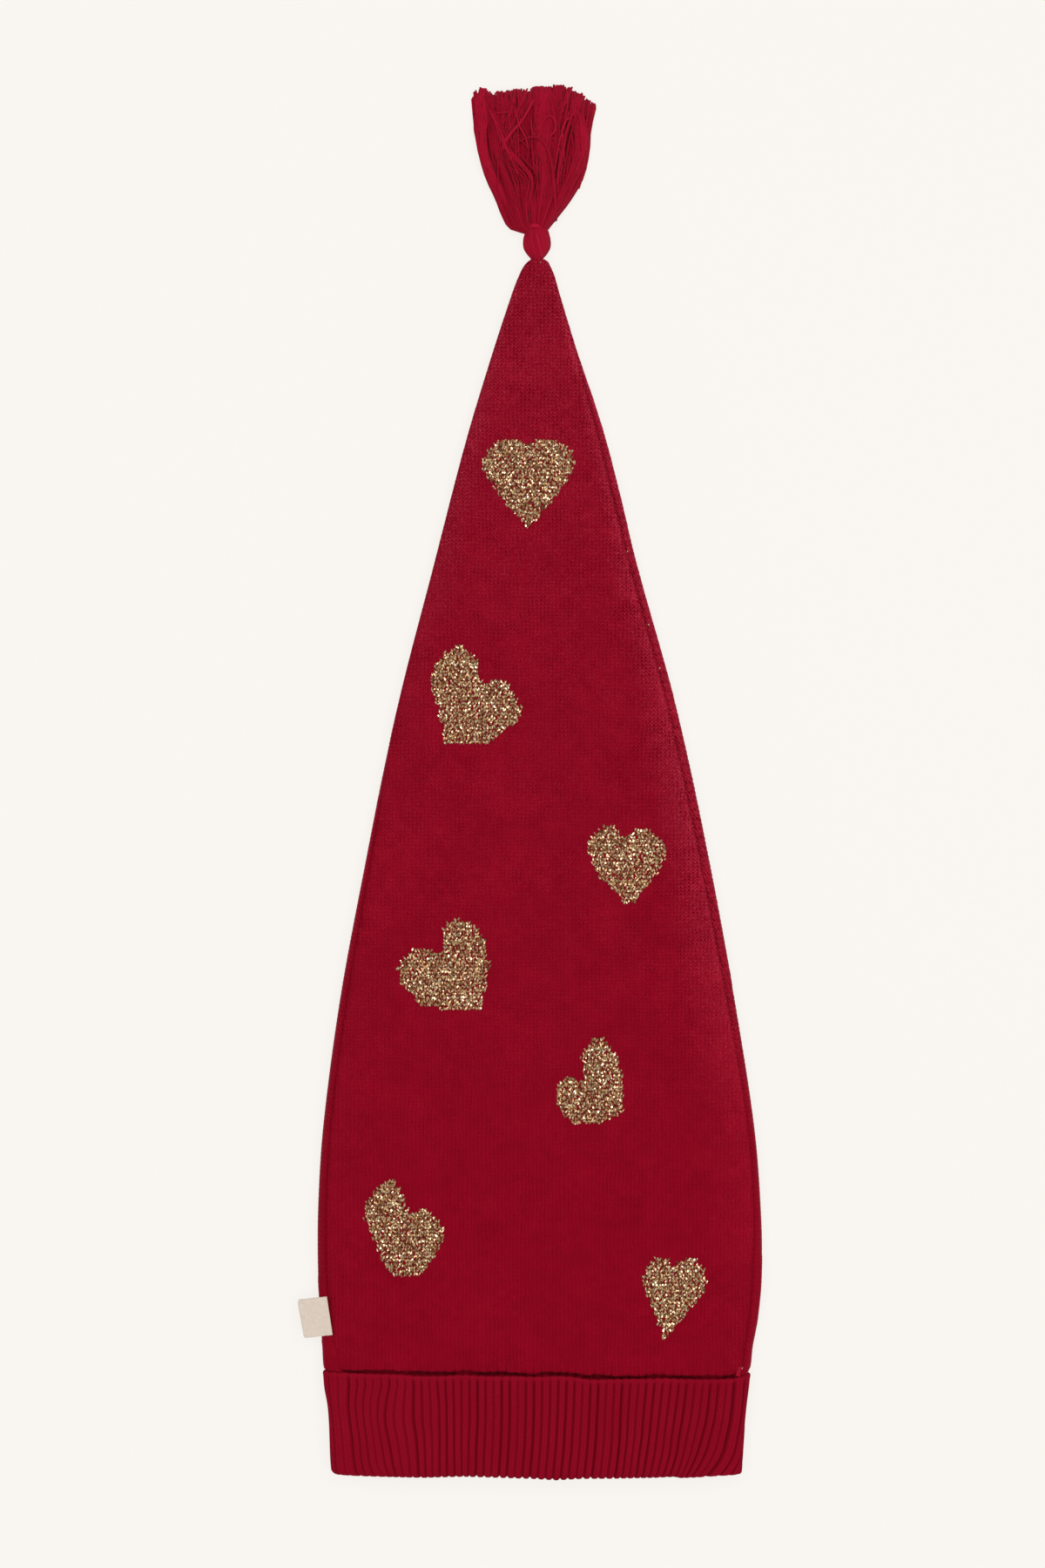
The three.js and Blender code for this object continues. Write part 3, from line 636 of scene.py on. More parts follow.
def knitBack():
    look = backKnit
    step = look["wale"] / 2
    rowUps = np.arange(look["start"], look["end"], look["course"] / 2)
    rows = rowsAt(crownTable, rowUps)
    ways = np.linspace(0, 1, look["samples"])
    courses, total = [], 0
    found = {key: [] for key in ("x", "z", "wale", "fromSeam")}
    for j in range(len(rowUps)):
        row = {key: value[j] for key, value in rows.items()}
        x, z = sectionPoint(row, backTurns(row, ways))
        lengths = runAlong(x, z)
        whole = lengths[-1]
        edge = min(look["margin"], max(int(whole / 2 / step) - 1, 1))
        last = math.floor((whole / 2 - edge * step - 0.4 * step) / step)
        inner, count = np.arange(-last, last + 1), np.arange(edge + 1)
        along = np.concatenate([count * step, whole / 2 + inner * step, whole - (count * step)[::-1]])
        ids, place = total + np.arange(len(along)), along - whole / 2
        courses.append({"ids": ids, "place": place, "first": -last, "last": last, "edge": edge + 1})
        found["x"].append(np.interp(along, lengths, x))
        found["z"].append(np.interp(along, lengths, z))
        found["wale"].append(np.concatenate([count, inner, count[::-1]]))
        found["fromSeam"].append(np.minimum(along, whole - along))
        total += len(along)
    x, z, wale, fromSeam = (np.concatenate(lines) for lines in found.values())
    number = np.repeat(np.arange(len(courses)), [len(line) for line in found["x"]])
    up = rowUps[number]
    row = {key: value[number] for key, value in rows.items()}
    half = halfAt(x, row)
    pit, upper = (wale + number) % 2 == 0, z > row["side"]
    tall = np.where(pit, -dice.uniform(0.5, 1.3, len(x)), 0.5 + 0.35 * dice.uniform(-1, 1, len(x)))
    relief = stitchRelief(x, up, np.abs(x) / half) * np.clip((up + 20) / 200, 0.4, 1)
    tall = tall * relief
    # The cloth thickens inwards only, so that it stays on the table
    seen = seamShare(x, up) * upper
    sink = np.clip(half / 25, 0.25, 1) * seen * look["seamDepth"] * bell(fromSeam / look["seamWide"])
    z = z - sink + np.where(upper, 1, -0.3) * look["stitchDepth"] * tall * (z > 1)
    x = x + np.sign(x) * np.where(np.abs(x) > half - 3, 0.6, 0) * look["stitchDepth"] * tall
    z = np.where(z < 0.6, np.maximum(z, 0) + 0.12 * pit, z)
    # Painted shade on the strip outside each seam, darkest in the seam, and painted light on the right half
    # where it stands higher than 4 mm
    shaded = seen * 0.22 * bell(fromSeam / 0.8) - 0.1 * (x > 0) * (z > 4)
    course = (up - look["start"]) / look["course"]
    # Brightness of each point: painted shade in the pits and the seam
    stitch = np.stack([wale / 2, course, np.clip(0.62 + 0.38 * tall - shaded, 0, 1.3)], 1)
    # Loose fibre along the outline catches the light
    fibreAndSheen = fibreSheenAt(x, up, np.abs(x) / half) + 0.7 * unit((np.abs(x) - half + 1.1) / 0.8)

    def lining(row, across, wall):
        return sectionPoint(row, backTurns(row, across), wall)

    outside = np.stack([x, up, z], 1)
    piece = makeCrown("back_knit", look, courses, rowUps, outside, stitch, relief, fibreAndSheen, lining)
    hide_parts("crown_back", "crown_hem", "crown_side_left", "crown_side_right")


knitBack()


# Ribbed cotton: two smooth wales to a rib, painted shade between them, and little pale fibre with painted
# sheen
cottonRib = knitMaterial("cottonRib", {
    # The pit colour is painted shade in the grooves and pits
    "yarn": "#8f0a22", "pit": "#40000a", "deep": "#7a0418", "fibreAndSheen": "#f0a9b4", "fuzzAndSheen": "#cf6f83",
    "slant": 0.9, "yarnTone": 0.08, "toneLow": -0.06, "toneHigh": 0.99, "cloud": 0.3,
    "bump": 0.22, "sheen": 0.02,
})

# Sideways sway of the ribs in mm, read off the photo: at places across the front, for heights over the fold.
# They bend in an S at the left, and sweep to the left most of all at the right corner
swayAcross = np.array((-100, -95, -84, -77, -70, -63, -57, -47, -36, -30, 20, 40, 53, 66, 75, 83, 91, 99))
swayTable = np.array([
    (0, 4.2, 4.3, 4.6, 5.2, 3.4, 2, 2, 0.7, 0, -1.4, -3, -3.7, -5.5, -8.6, -10.2, -13.2, -15, -13.5),
    (3, 3.9, 4, 3.8, 4.1, 3, 1.9, 2, 0.7, 0, -1.3, -2.7, -3.4, -5.2, -7.5, -9.1, -11.9, -13.1, -11.8),
    (8, 3.4, 3.2, 2.2, 1.8, 1.5, 1.6, 1.9, 0.7, 0, -1, -2.2, -2.7, -4.5, -5.9, -7.3, -9.2, -8.8, -7.9),
    (14, 3, 2.6, 1.3, 0.8, 0.4, 0.9, 1.7, 0.8, 0, -0.8, -1.7, -2, -3.7, -4.4, -5.6, -6.5, -5.7, -4.9),
    (21, 2.6, 1.9, 0.6, -0.2, -1, -0.1, 1.2, 0.9, 0, -0.5, -1.2, -1.4, -2.6, -3.6, -4.1, -4.3, -3.8, -3.3),
    (29, 2, 1.2, -0.2, -1, -2.2, -1.3, 0.2, 0.7, -0.2, -0.3, -0.7, -0.9, -1.7, -2.2, -2.2, -2.1, -2, -1.6),
    (37, 1, 0.4, -0.8, -1.3, -1.7, -1.1, 0, 0.6, -0.2, -0.2, -0.3, -0.5, -0.9, -1.1, -1, -0.9, -0.9, -0.7),
    (46, 0, 0, 0, 0, 0, 0, 0, 0, 0, 0, 0, 0, 0, 0, 0, 0, 0, 0),
])
swayTop = swayTable[-1, 0]


def ribSway(turn, x, up):
    turn = np.where(turn > 3, turn - 6, turn)
    level = np.clip(up, 0, swayTop)
    rows = tableAt(swayTable, level)[:, 1:]
    place = np.clip(np.searchsorted(swayAcross, x, side="right") - 1, 0, len(swayAcross) - 2)
    t = unit((x - swayAcross[place]) / (swayAcross[place + 1] - swayAcross[place]))
    each = np.arange(len(x))
    value = rows[each, place] * (1 - t) + rows[each, place + 1] * t
    # The cuff tapers towards its fold, which draws the ribs in by itself
    drawn = halfAt(x, rowsAt(cuffTable, swayTop)) / halfAt(x, rowsAt(cuffTable, level))
    value = value + x * (drawn - 1)
    wander = 0.25 * softNoise(turn * 55, up, 14, 8) * (np.abs(turn) < 1)
    return value * smoothStep(2.6 - np.abs(turn)) + wander


def ribCuff(name, node, startTurn, endTurn):
    look = ribs
    beyond = look["wall"] + look["slit"]
    thick = 2 * look["wall"] + look["slit"]
    middle = thick / 2
    # Profile of the bent double wall: inset, height from the lip or the fold, and how much of the rib shows
    lip = [
        (1.5, 0, 0), (0.7, -0.1, 0), (0.15, -0.45, 0.1), (-0.1, -0.9, 0.25), (-0.1, -1.5, 0.5),
        (-0.05, -2.1, 0.75), (0.0, -2.9, 0.95), (0.0, -4.0, 1),
    ]
    legTop = look["innerLeg"]
    innerLeg = [(thick, 14, 0), (thick, 26, 0), (thick, legTop - 0.6, 0), (thick - 0.6, legTop, 0)]
    slitSide = [(2.3, -0.3), (2.65, -1.4), (2.7, -14), (2.72, -30), (middle, -43)]
    slitInner = [(beyond, 18), (beyond, 30), (3.4, legTop - 0.3)]

    middleRow = {key: float(value) for key, value in rowsAt(cuffTable, look["height"] / 2).items()}
    turns = np.linspace(startTurn - look["spareTurn"], endTurn + look["spareTurn"], 2000)
    x, z = sectionPoint(middleRow, turns)
    lengths = runAlong(x, z)
    phase = np.append((np.arange(look["count"])[:, None] + np.array(look["across"])).ravel(), look["count"])
    first, last = np.interp((startTurn, endTurn), turns, lengths)
    along = first + phase / look["count"] * (last - first)
    ownTurn, ownX = np.interp(along, lengths, turns), np.interp(along, lengths, x)
    foot = np.interp(ownX, look["footX"], look["footUp"])
    pitch = (last - first) / look["count"]
    part, nearest = phase % 1, np.floor(phase + 0.5)
    fromGroove = np.minimum(part, 1 - part) * pitch
    uneven = 1 + 0.18 * np.sin(1.7 * nearest) + 0.1 * np.sin(4.1 * nearest)
    groove = bell(fromGroove / look["grooveWide"]) * uneven
    groove = groove * np.interp(ownX, look["groovesAt"], look["grooves"])
    dip = look["waleDip"] * bell((part - 0.5) * pitch / look["waleWide"])
    relief = look["depth"] * groove + dip
    lipUp = lipHeight(ownX) - look["lipNotch"] * groove

    rings = [(inset, lipUp + drop, rib) for inset, drop, rib in lip]
    bottom = lipUp + lip[-1][1]
    for t in np.linspace(0, 1, look["legRows"] + 1)[1:-1]:
        rings.append((0.0, bottom + (look["fold"] - bottom) * t, 1))
    scallop = look["scallop"] * (groove - 0.35)
    # The fold is round at the left and sharp at the right corner
    sharp = 1 - 0.5 * smoothStep((ownTurn - 0.6) / 0.3) * smoothStep((2.2 - ownTurn) / 0.5)
    for angle in np.linspace(0, math.pi, 11):
        cosine, sine = math.cos(angle), np.maximum(math.sin(angle), 0) ** sharp
        inset = middle - middle * np.sign(cosine) * np.abs(cosine) ** sharp
        rings.append((inset, look["fold"] * (1 - sine) + (scallop + foot) * sine, 0.5 + 0.5 * cosine))
    rings += [(inset, 0 * along + up, rib) for inset, up, rib in innerLeg]
    outsideCount = len(rings)
    slit = [(inset, lipUp + drop, 0) for inset, drop in slitSide]
    slit += [(inset, 0 * along + up, 0) for inset, up in slitInner]
    rings += slit[::-1]

    points, stitch = [], []
    for inset, up, rib in rings:
        turn = np.interp(along + ribSway(ownTurn, ownX, up), lengths, turns)
        px, pz = sectionPoint(rowsAt(cuffTable, np.clip(up, 0, look["height"])), turn, inset + rib * relief)
        points.append(np.stack([px, up, pz], 1))
        # Painted shade in the grooves between ribs and in the dip between the two wales of a rib
        bright = 0.93 - rib * (0.6 * groove + 0.8 * dip)
        stitch.append(np.stack([phase * 2, up / look["course"], np.clip(bright, 0, 1.2)], 1))
    points, stitch = np.concatenate(points), np.concatenate(stitch)
    ids = np.arange(len(points)).reshape(len(rings), -1)
    triangles = cells(closed(ids, 0)).tolist()
    for column, flip in ((0, False), (-1, True)):
        outer, inner = ids[:outsideCount, column], ids[outsideCount:, column][::-1]
        outerWay, innerWay = np.linspace(0, 1, len(outer)), np.linspace(0, 1, len(inner))
        triangles += zipLists(outer, outerWay, inner, innerWay, flip=flip)
    values = {"stitch": stitch, "relief": np.ones(ids.size), "fibreAndSheen": np.full(ids.size, look["fibreAndSheen"])}
    piece = makePiece(name, points, triangles, values, cottonRib, True)
    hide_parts(node)


middleCuff = rowsAt(cuffTable, ribs["height"] / 2)
seamGap = 0.003
leftSeam = float(1 - middleCuff["seamLeft"] / middleCuff["left"])
rightSeam = float(1 - middleCuff["seamRight"] / middleCuff["right"])
ribCuff("rib_front", "cuff_front", -leftSeam + seamGap, rightSeam - seamGap)
ribCuff("rib_back", "cuff_back", rightSeam + seamGap, 6 - leftSeam - seamGap)


# Many yarns at once: paths of equal point counts, a radius at each point, and sides to the yarn's section
def yarns(paths, radii, sides, roll=0.0, flat=1.0):
    paths = np.asarray(paths, float)
    count, steps = paths.shape[:2]
    radii = np.broadcast_to(np.asarray(radii, float), (count, steps))
    along = np.gradient(paths, axis=1)
    along /= np.linalg.norm(along, axis=2, keepdims=True)
    upright = np.abs(along[..., 2:3]) > 0.95
    reference = np.where(upright, np.array([0.0, 1.0, 0.0]), np.array([0.0, 0.0, 1.0]))
    aside = np.cross(along, reference)
    aside /= np.linalg.norm(aside, axis=2, keepdims=True)
    top = np.cross(aside, along)
    angles = 2 * math.pi * np.arange(sides) / sides + np.broadcast_to(roll, (count,))[:, None]
    cosine, sine = np.cos(angles)[:, None, :, None], flat * np.sin(angles)[:, None, :, None]
    ring = paths[:, :, None] + radii[:, :, None, None] * (cosine * aside[:, :, None] + sine * top[:, :, None])
    ends = np.stack([paths[:, 0], paths[:, -1]], 1)
    points = np.concatenate([ring.reshape(count, -1, 3), ends], 1)
    each = steps * sides + 2
    ids = closed(np.arange(steps * sides).reshape(steps, sides), 1)
    hub = np.full(sides, steps * sides)
    starts = np.stack([ids[0, 1:], ids[0, :-1], hub], 1)
    finals = np.stack([ids[-1, :-1], ids[-1, 1:], hub + 1], 1)
    one = np.concatenate([cells(ids), starts, finals])
    triangles = (one[None] + (np.arange(count) * each)[:, None, None]).reshape(-1, 3)
    which = np.repeat(np.arange(count), each)
    way = np.tile(np.concatenate([np.repeat(np.linspace(0, 1, steps), sides), [0, 1]]), count)
    return points.reshape(-1, 3), triangles, which, way


# Metallic yarn: foil wound round a red-brown core; the glint attribute paints a highlight on it, pale and less
# rough where it is high, and dark elsewhere
def foilMaterial():
    material, tree, place = newMaterial("foilYarn")
    glint = addNode(tree, "Attribute", {"attribute_name": "glint"})
    # Windings of the foil, about 0.5 mm apart
    winding = addNode(tree, "TexNoise", {"Scale": 2200.0, "Detail": 1.0, "Vector": place})
    mixed = addNode(tree, "Math", {"operation": "MULTIPLY_ADD", 0: winding, 1: 0.5, 2: -0.25})
    level = addNode(tree, "Math", {"operation": "ADD", "use_clamp": True, 0: glint.outputs["Fac"], 1: mixed})
    rising = addNode(tree, "MapRange", {"Value": level, "From Max": 0.5})
    bright = addNode(tree, "MapRange", {"Value": level, "From Min": 0.5})
    core = addNode(tree, "Mix", {"data_type": "RGBA", 0: rising, 6: linear("#7a3826"), 7: linear("#d2ae7e")})
    colour = addNode(tree, "Mix", {"data_type": "RGBA", 0: bright, 6: core, 7: linear("#fff6d2")})
    rough = addNode(tree, "MapRange", {"Value": level, "To Min": 0.5, "To Max": 0.24})
    finishMaterial(tree, winding, 0.3, 0.0002, {"Base Color": colour, "Metallic": 0.9, "Roughness": rough})
    return material


foilYarn = foilMaterial()

# Outlines of the hearts, read off the photo in its pixels, each of 0.42 mm
# They lie nearer to the lens than the plane of that scale, by the share "near"
photoScale = {"mm": 0.42, "axis": 616.5, "mouth": 1696.0, "near": 0.994}
hearts = (
    ((605, 514), (612, 507), (624, 502), (636, 503), (647, 510), (656, 519), (660, 529), (657, 542),
     (648, 555), (638, 569), (626, 584), (613, 598), (607, 606), (600, 597), (586, 583), (573, 566),
     (562, 550), (555, 538), (554, 526), (561, 516), (572, 506), (585, 501), (597, 505)),
    ((528, 739), (536, 745), (544, 752), (550, 759), (552, 784), (560, 783), (570, 781), (578, 782),
     (586, 788), (591, 798), (598, 812), (596, 824), (590, 831), (582, 836), (568, 849), (562, 854),
     (508, 853), (508, 836), (504, 812), (499, 803), (495, 780), (502, 760), (510, 751), (518, 744)),
    ((716, 962), (724, 957), (732, 951), (742, 951), (750, 956), (758, 963), (766, 974), (763, 985),
     (754, 1003), (744, 1017), (729, 1033), (723, 1040), (716, 1034), (700, 1018), (690, 1007), (682, 993),
     (674, 974), (677, 965), (690, 951), (695, 946), (706, 948), (711, 955)),
    ((508, 1095), (508, 1068), (514, 1060), (523, 1055), (534, 1056), (549, 1068), (560, 1085), (561, 1112),
     (557, 1136), (552, 1142), (555, 1159), (520, 1159), (492, 1156), (483, 1153), (473, 1140), (459, 1128),
     (457, 1110), (463, 1100), (476, 1089), (484, 1088), (492, 1091)),
    ((670, 1239), (670, 1222), (668, 1214), (671, 1205), (683, 1191), (692, 1194), (700, 1200), (710, 1216),
     (715, 1234), (714, 1275), (709, 1281), (692, 1288), (683, 1291), (666, 1291), (652, 1286), (641, 1270),
     (637, 1258), (640, 1245), (650, 1238)),
    ((468, 1394), (476, 1391), (488, 1388), (501, 1397), (510, 1411), (509, 1424), (500, 1441), (488, 1458),
     (482, 1465), (455, 1465), (443, 1456), (436, 1437), (424, 1410), (419, 1394), (421, 1382), (431, 1366),
     (446, 1354), (453, 1356), (460, 1364), (466, 1382)),
    ((773, 1453), (780, 1449), (788, 1445), (797, 1445), (803, 1451), (812, 1468), (811, 1478), (806, 1486),
     (797, 1498), (782, 1515), (768, 1534), (763, 1541), (757, 1521), (750, 1503), (742, 1486), (738, 1468),
     (742, 1456), (748, 1449), (756, 1444), (765, 1444)),
)
heartStitch = {
    "thick": 0.49, "endThick": 0.32, "lift": 0.35, "arch": 0.4, "jitter": 0.25, "tilt": 0.36,
    "sides": 4, "flat": 0.75, "unevenLift": 0.16, "waver": 0.12, "unevenThick": (0.75, 1.2),
    # One leg of a stitch, as shares of a wale and a course
    "leg": ((-0.45, 0.5), (-0.36, 0.25), (-0.26, 0.0), (-0.17, -0.25), (-0.08, -0.5)),
    "bow": (0.0, 0.7, 1.0, 0.8, 0.2),
    # Ranges of a leg's ground brightness, of the place of its painted glint and of the glint's strength
    "glint": ((0, 0.4), (-0.1, 1.1), (0.4, 1.4)), "glintWide": 0.21, "speckle": 0.08,
}


def insideOutline(x, y, outline):
    inside = np.zeros(len(x), bool)
    for (ax, ay), (bx, by) in zip(outline, np.roll(outline, -1, axis=0)):
        crosses = (ay > y) != (by > y)
        inside ^= crosses & (x < (bx - ax) * (y - ay) / (by - ay + 1e-12) + ax)
    return inside


def knitHeart(number, outline):
    look, wale, course = heartStitch, frontKnit["wale"], frontKnit["course"]
    outline = np.array(outline, float)
    outline = (outline - (photoScale["axis"], photoScale["mouth"])) * (photoScale["mm"], -photoScale["mm"])
    centre = (studio["centreX"], studio["centreUp"])
    outline = centre + photoScale["near"] * (outline - centre)
    low, high = outline.min(axis=0), outline.max(axis=0)
    across = np.arange(math.floor(low[0] / wale) - 1, math.ceil(high[0] / wale) + 1)
    along = np.arange(math.floor(low[1] / course) - 1, math.ceil(high[1] / course) + 1)
    gridX, gridUp = (value.ravel() for value in np.meshgrid((across + 0.5) * wale, (along + 0.5) * course))
    kept = insideOutline(gridX, gridUp, outline)
    gridX, gridUp = gridX[kept], gridUp[kept]
    count = len(gridX)
    paths, bow = [], np.array(look["bow"])
    for side in (-1, 1):
        leg = np.array(look["leg"]) * (-side, 1)
        path = np.zeros((count, len(leg), 3))
        jitter = dice.normal(0, look["jitter"], (count, 2))
        swing = dice.normal(0, look["tilt"], count)[:, None]
        legX = leg[:, 0] * wale + swing * leg[:, 1] * course
        path[..., 0] = gridX[:, None] + legX + jitter[:, :1]
        path[..., 1] = gridUp[:, None] + leg[:, 1] * course + jitter[:, 1:]
        path[..., 2] = look["lift"] + look["arch"] * bow
        uneven = dice.normal(0, look["unevenLift"], count)[:, None]
        path[..., 2] += uneven + dice.normal(0, look["waver"], path.shape[:2])
        paths.append(path)
    paths = np.concatenate(paths)
    row = rowsAt(crownTable, paths[..., 1])
    paths[..., 2] += frontHeight(paths[..., 0], paths[..., 1], row)
    radii = look["endThick"] + (look["thick"] - look["endThick"]) * bow
    radii = radii * dice.uniform(*look["unevenThick"], (2 * count, 1))
    roll = dice.uniform(0, math.pi, 2 * count)
    points, triangles, which, way = yarns(paths, radii, look["sides"], roll, look["flat"])
    # Painted glint: each leg is painted bright at one spot
    base, spot, peak = (dice.uniform(*ends, 2 * count)[which] for ends in look["glint"])
    glint = base + peak * bell((way - spot) / look["glintWide"]) + dice.normal(0, look["speckle"], len(which))
    values = {"glint": unit(glint)}
    piece = makePiece(f"gold_heart_{number}", points, triangles, values, foilYarn, False)
    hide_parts(f"heart_{number}")


for number, heart in enumerate(hearts, 1):
    knitHeart(number, heart)


# Woven cotton tape: cream, matt, in a plain weave of 0.6 mm threads, drawn a little coarser than real to show
def tapeMaterial():
    material, tree, place = newMaterial("wovenCottonTape")
    thread = addNode(tree, "Attribute", {"attribute_name": "thread"}).outputs["Vector"]
    parts = addNode(tree, "SeparateXYZ", {0: thread}).outputs
    warp, weft = (addNode(tree, "Math", {"operation": "PINGPONG", 0: part, 1: 0.5}) for part in parts[:2])
    over = addNode(tree, "TexChecker", {"Scale": 1.0, "Vector": thread})
    weave = addNode(tree, "Mix", {"data_type": "FLOAT", 0: over.outputs["Fac"], 2: warp, 3: weft})
    slub = addNode(tree, "TexNoise", {"Scale": 420.0, "Detail": 3.0, "Vector": place})
    uneven = addNode(tree, "Math", {"operation": "MULTIPLY_ADD", 0: slub, 1: 0.5, 2: 0.1})
    tone = addNode(tree, "Math", {"operation": "MULTIPLY_ADD", 0: weave, 1: 1.2, 2: uneven})
    colour = addNode(tree, "Mix", {"data_type": "RGBA", 0: tone, 6: linear("#bfac9c"), 7: linear("#e6d8cb")})
    finishMaterial(tree, weave, 0.5, 0.0002, {
        "Base Color": colour, "Roughness": 0.85, "IOR": 1.53, "Specular IOR Level": 0.15, "Sheen Weight": 0.1,
    })
    return material


# Side label: a folded tab with its ends in the left seam
label = {
    "width": 14.4, "height": 18.6, "layer": 0.42, "parting": 0.3, "up": 79.0, "above": 0.3, "lean": 0.15,
    "droop": 0.3, "thread": 0.6, "rows": 44, "curl": 0.5, "round": 0.8, "ripple": 0.12, "fray": 0.1,
}


def sewLabel():
    look = label
    row = {key: float(value) for key, value in rowsAt(crownTable, look["up"]).items()}
    seamX, seamZ = sectionPoint(row, np.array(-(1 - row["seamLeft"] / row["left"])))
    thick = 2 * look["layer"] + look["parting"]
    flatOut = np.linspace(0, look["width"] - thick / 2, 30)
    bend = np.linspace(math.pi / 2, -math.pi / 2, 9)[1:-1]

    def loop(radius):
        arc = np.stack([flatOut[-1] + radius * np.cos(bend), thick / 2 + radius * np.sin(bend)], 1)
        over = np.stack([flatOut, np.full(len(flatOut), thick / 2 + radius)], 1)
        under = np.stack([flatOut[::-1], np.full(len(flatOut), thick / 2 - radius)], 1)
        return np.concatenate([over, arc, under])

    outer, inner = loop(thick / 2), loop(look["parting"] / 2)
    ring = np.concatenate([outer, inner[::-1]])
    high = np.linspace(-0.5, 0.5, look["rows"]) * look["height"]
    out, tall = ring[None, :, 0] + 0 * high[:, None], high[:, None] + 0 * ring[None, :, 0]
    z = ring[None, :, 1] - look["droop"] * out
    z = z + look["curl"] * (out / look["width"]) ** 2 * (2 * tall / look["height"]) ** 2
    z = z + look["ripple"] * softNoise(out, tall, 5, 12)
    fray = look["fray"] * softNoise(out * 3, tall, 0.7, 13)
    out = out * (1 + 0.012 * np.sin(tall / 4))
    corner = np.exp((np.abs(tall) - look["height"] / 2) / 0.6)
    out = out - look["round"] * corner * (out / look["width"]) ** 8
    tall = tall + fray * (np.abs(tall) > 0.49 * look["height"])
    cosine, sine = math.cos(look["lean"]), math.sin(look["lean"])
    x = seamX - out * cosine - tall * sine
    up = look["up"] - out * sine + tall * cosine
    points = np.stack([x, up, seamZ + look["above"] + z], -1).reshape(-1, 3)
    run = runAlong(ring[:, 0], ring[:, 1])
    thread = np.stack([run / look["thread"] + 0 * tall, tall / look["thread"], 0 * tall + 0.5], -1)
    ids = np.arange(len(points)).reshape(x.shape)
    triangles = cells(closed(ids, 1)).tolist()
    way = np.linspace(0, 1, len(outer))
    for line, flip in ((ids[0], True), (ids[-1], False)):
        triangles += zipLists(line[:len(outer)], way, line[len(outer):][::-1], way, flip=flip)
    values = {"thread": thread.reshape(-1, 3)}
    piece = makePiece("blank_label", points, triangles, values, tapeMaterial(), True)
    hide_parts("label")


sewLabel()


# Loose cotton yarn: each strand has its own depth of red, with a twist of plies and a soft bloom
def strandMaterial():
    material, tree, place = newMaterial("looseCottonYarn")
    strand = addNode(tree, "Attribute", {"attribute_name": "strand"})
    tone, run, turn = addNode(tree, "SeparateXYZ", {0: strand.outputs["Vector"]}).outputs
    # Plies wound once every 2.4 mm, and loose fibre about 0.7 mm long
    twist = addNode(tree, "Math", {"operation": "MULTIPLY_ADD", 0: run, 1: 1 / 2.4, 2: turn})
    ply = addNode(tree, "Math", {"operation": "PINGPONG", 0: twist, 1: 0.5})
    fibre = addNode(tree, "TexNoise", {"Scale": 1500.0, "Detail": 2.0, "Vector": place})
    uneven = addNode(tree, "Math", {"operation": "MULTIPLY_ADD", 0: fibre, 1: 0.5, 2: tone})
    lit = addNode(tree, "MapRange", {"Value": uneven, "From Min": 0.2, "From Max": 1.2})
    colour = addNode(tree, "Mix", {"data_type": "RGBA", 0: lit, 6: linear("#780619"), 7: linear("#a8142f")})
    relief = addNode(tree, "Math", {"operation": "MULTIPLY_ADD", 0: fibre, 1: 0.5, 2: ply})
    finishMaterial(tree, relief, 0.4, 0.0003, {
        "Base Color": colour, "Roughness": 0.9, "IOR": 1.53, "Specular IOR Level": 0.02,
        "Sheen Weight": 0.1, "Sheen Roughness": 0.4, "Sheen Tint": linear("#f0a9b4"),
    })
    return material


looseCotton = strandMaterial()


def yarnPiece(name, groups, nodes):
    points, triangles, strands, total = [], [], [], 0
    for paths, radii, sides, tones in groups:
        p, t, which, way = yarns(paths, radii, sides)
        lengths = np.linalg.norm(np.diff(paths, axis=1), axis=2).sum(1)
        tones = np.broadcast_to(tones, (len(paths),))
        around = np.tile(np.append(np.tile(np.arange(sides) / sides, paths.shape[1]), [0, 0]), len(paths))
        # Painted light: the cut tips of each yarn are made paler
        tipLight = 0.35 * unit((way - 0.94) / 0.06)
        strands.append(np.stack([tones[which] + tipLight, way * lengths[which], around], 1))
        points.append(p)
        triangles.append(t + total)
        total += len(p)
    points, triangles, strands = (np.concatenate(lists) for lists in (points, triangles, strands))
    piece = makePiece(name, points, triangles, {"strand": strands}, looseCotton, True)
    if nodes:
        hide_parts(*nodes)


# A smooth line of evenly spaced points through a few
def smoothPath(points, count):
    points = np.asarray(points, float)
    padded = np.concatenate([2 * points[:1] - points[1:2], points, 2 * points[-1:] - points[-2:-1]])
    place = np.linspace(0, len(points) - 1, count)
    k = np.minimum(place.astype(int), len(points) - 2)
    t = (place - k)[:, None]
    a, b, c, d = (padded[k + n] for n in range(4))
    square, cube = 2 * a - 5 * b + 4 * c - d, 3 * b - a - 3 * c + d
    return 0.5 * (2 * b + (c - a) * t + square * t ** 2 + cube * t ** 3)


# Tassel: locks of yarn that fan out from the tie to a ragged cut
tassel = {
    "locks": 34, "perLock": 26, "lockSpread": 0.034, "radius": 0.46, "looseRadius": 0.4,
    "points": 16, "sides": 5, "start": 600.1, "fanUp": 668.0, "fanPower": 2.6, "filler": 0.3, "core": 0.7,
    "cutX": (-32.3, -28.8, -23.1, -16, -9.5, -7.1, 0.6, 10.5, 17.3, 26.5, 30),
    "cutUp": (664.9, 670.0, 667.4, 668.8, 670.0, 668.0, 671.0, 671.6, 669.5, 664.4, 662.1),
    "ragged": 0.25, "sway": 2.6, "wave": 1.4, "kink": 0.5, "curl": 1.1, "curlReach": 7, "crossing": 16,
    # The left half bends in an S: in above the tie, out at the middle of the fan. Amount, height and reach
    "bendIn": (3.0, 623, 6), "bendOut": (3.4, 641, 8), "bendShare": -0.38, "bendWide": 0.3,
}
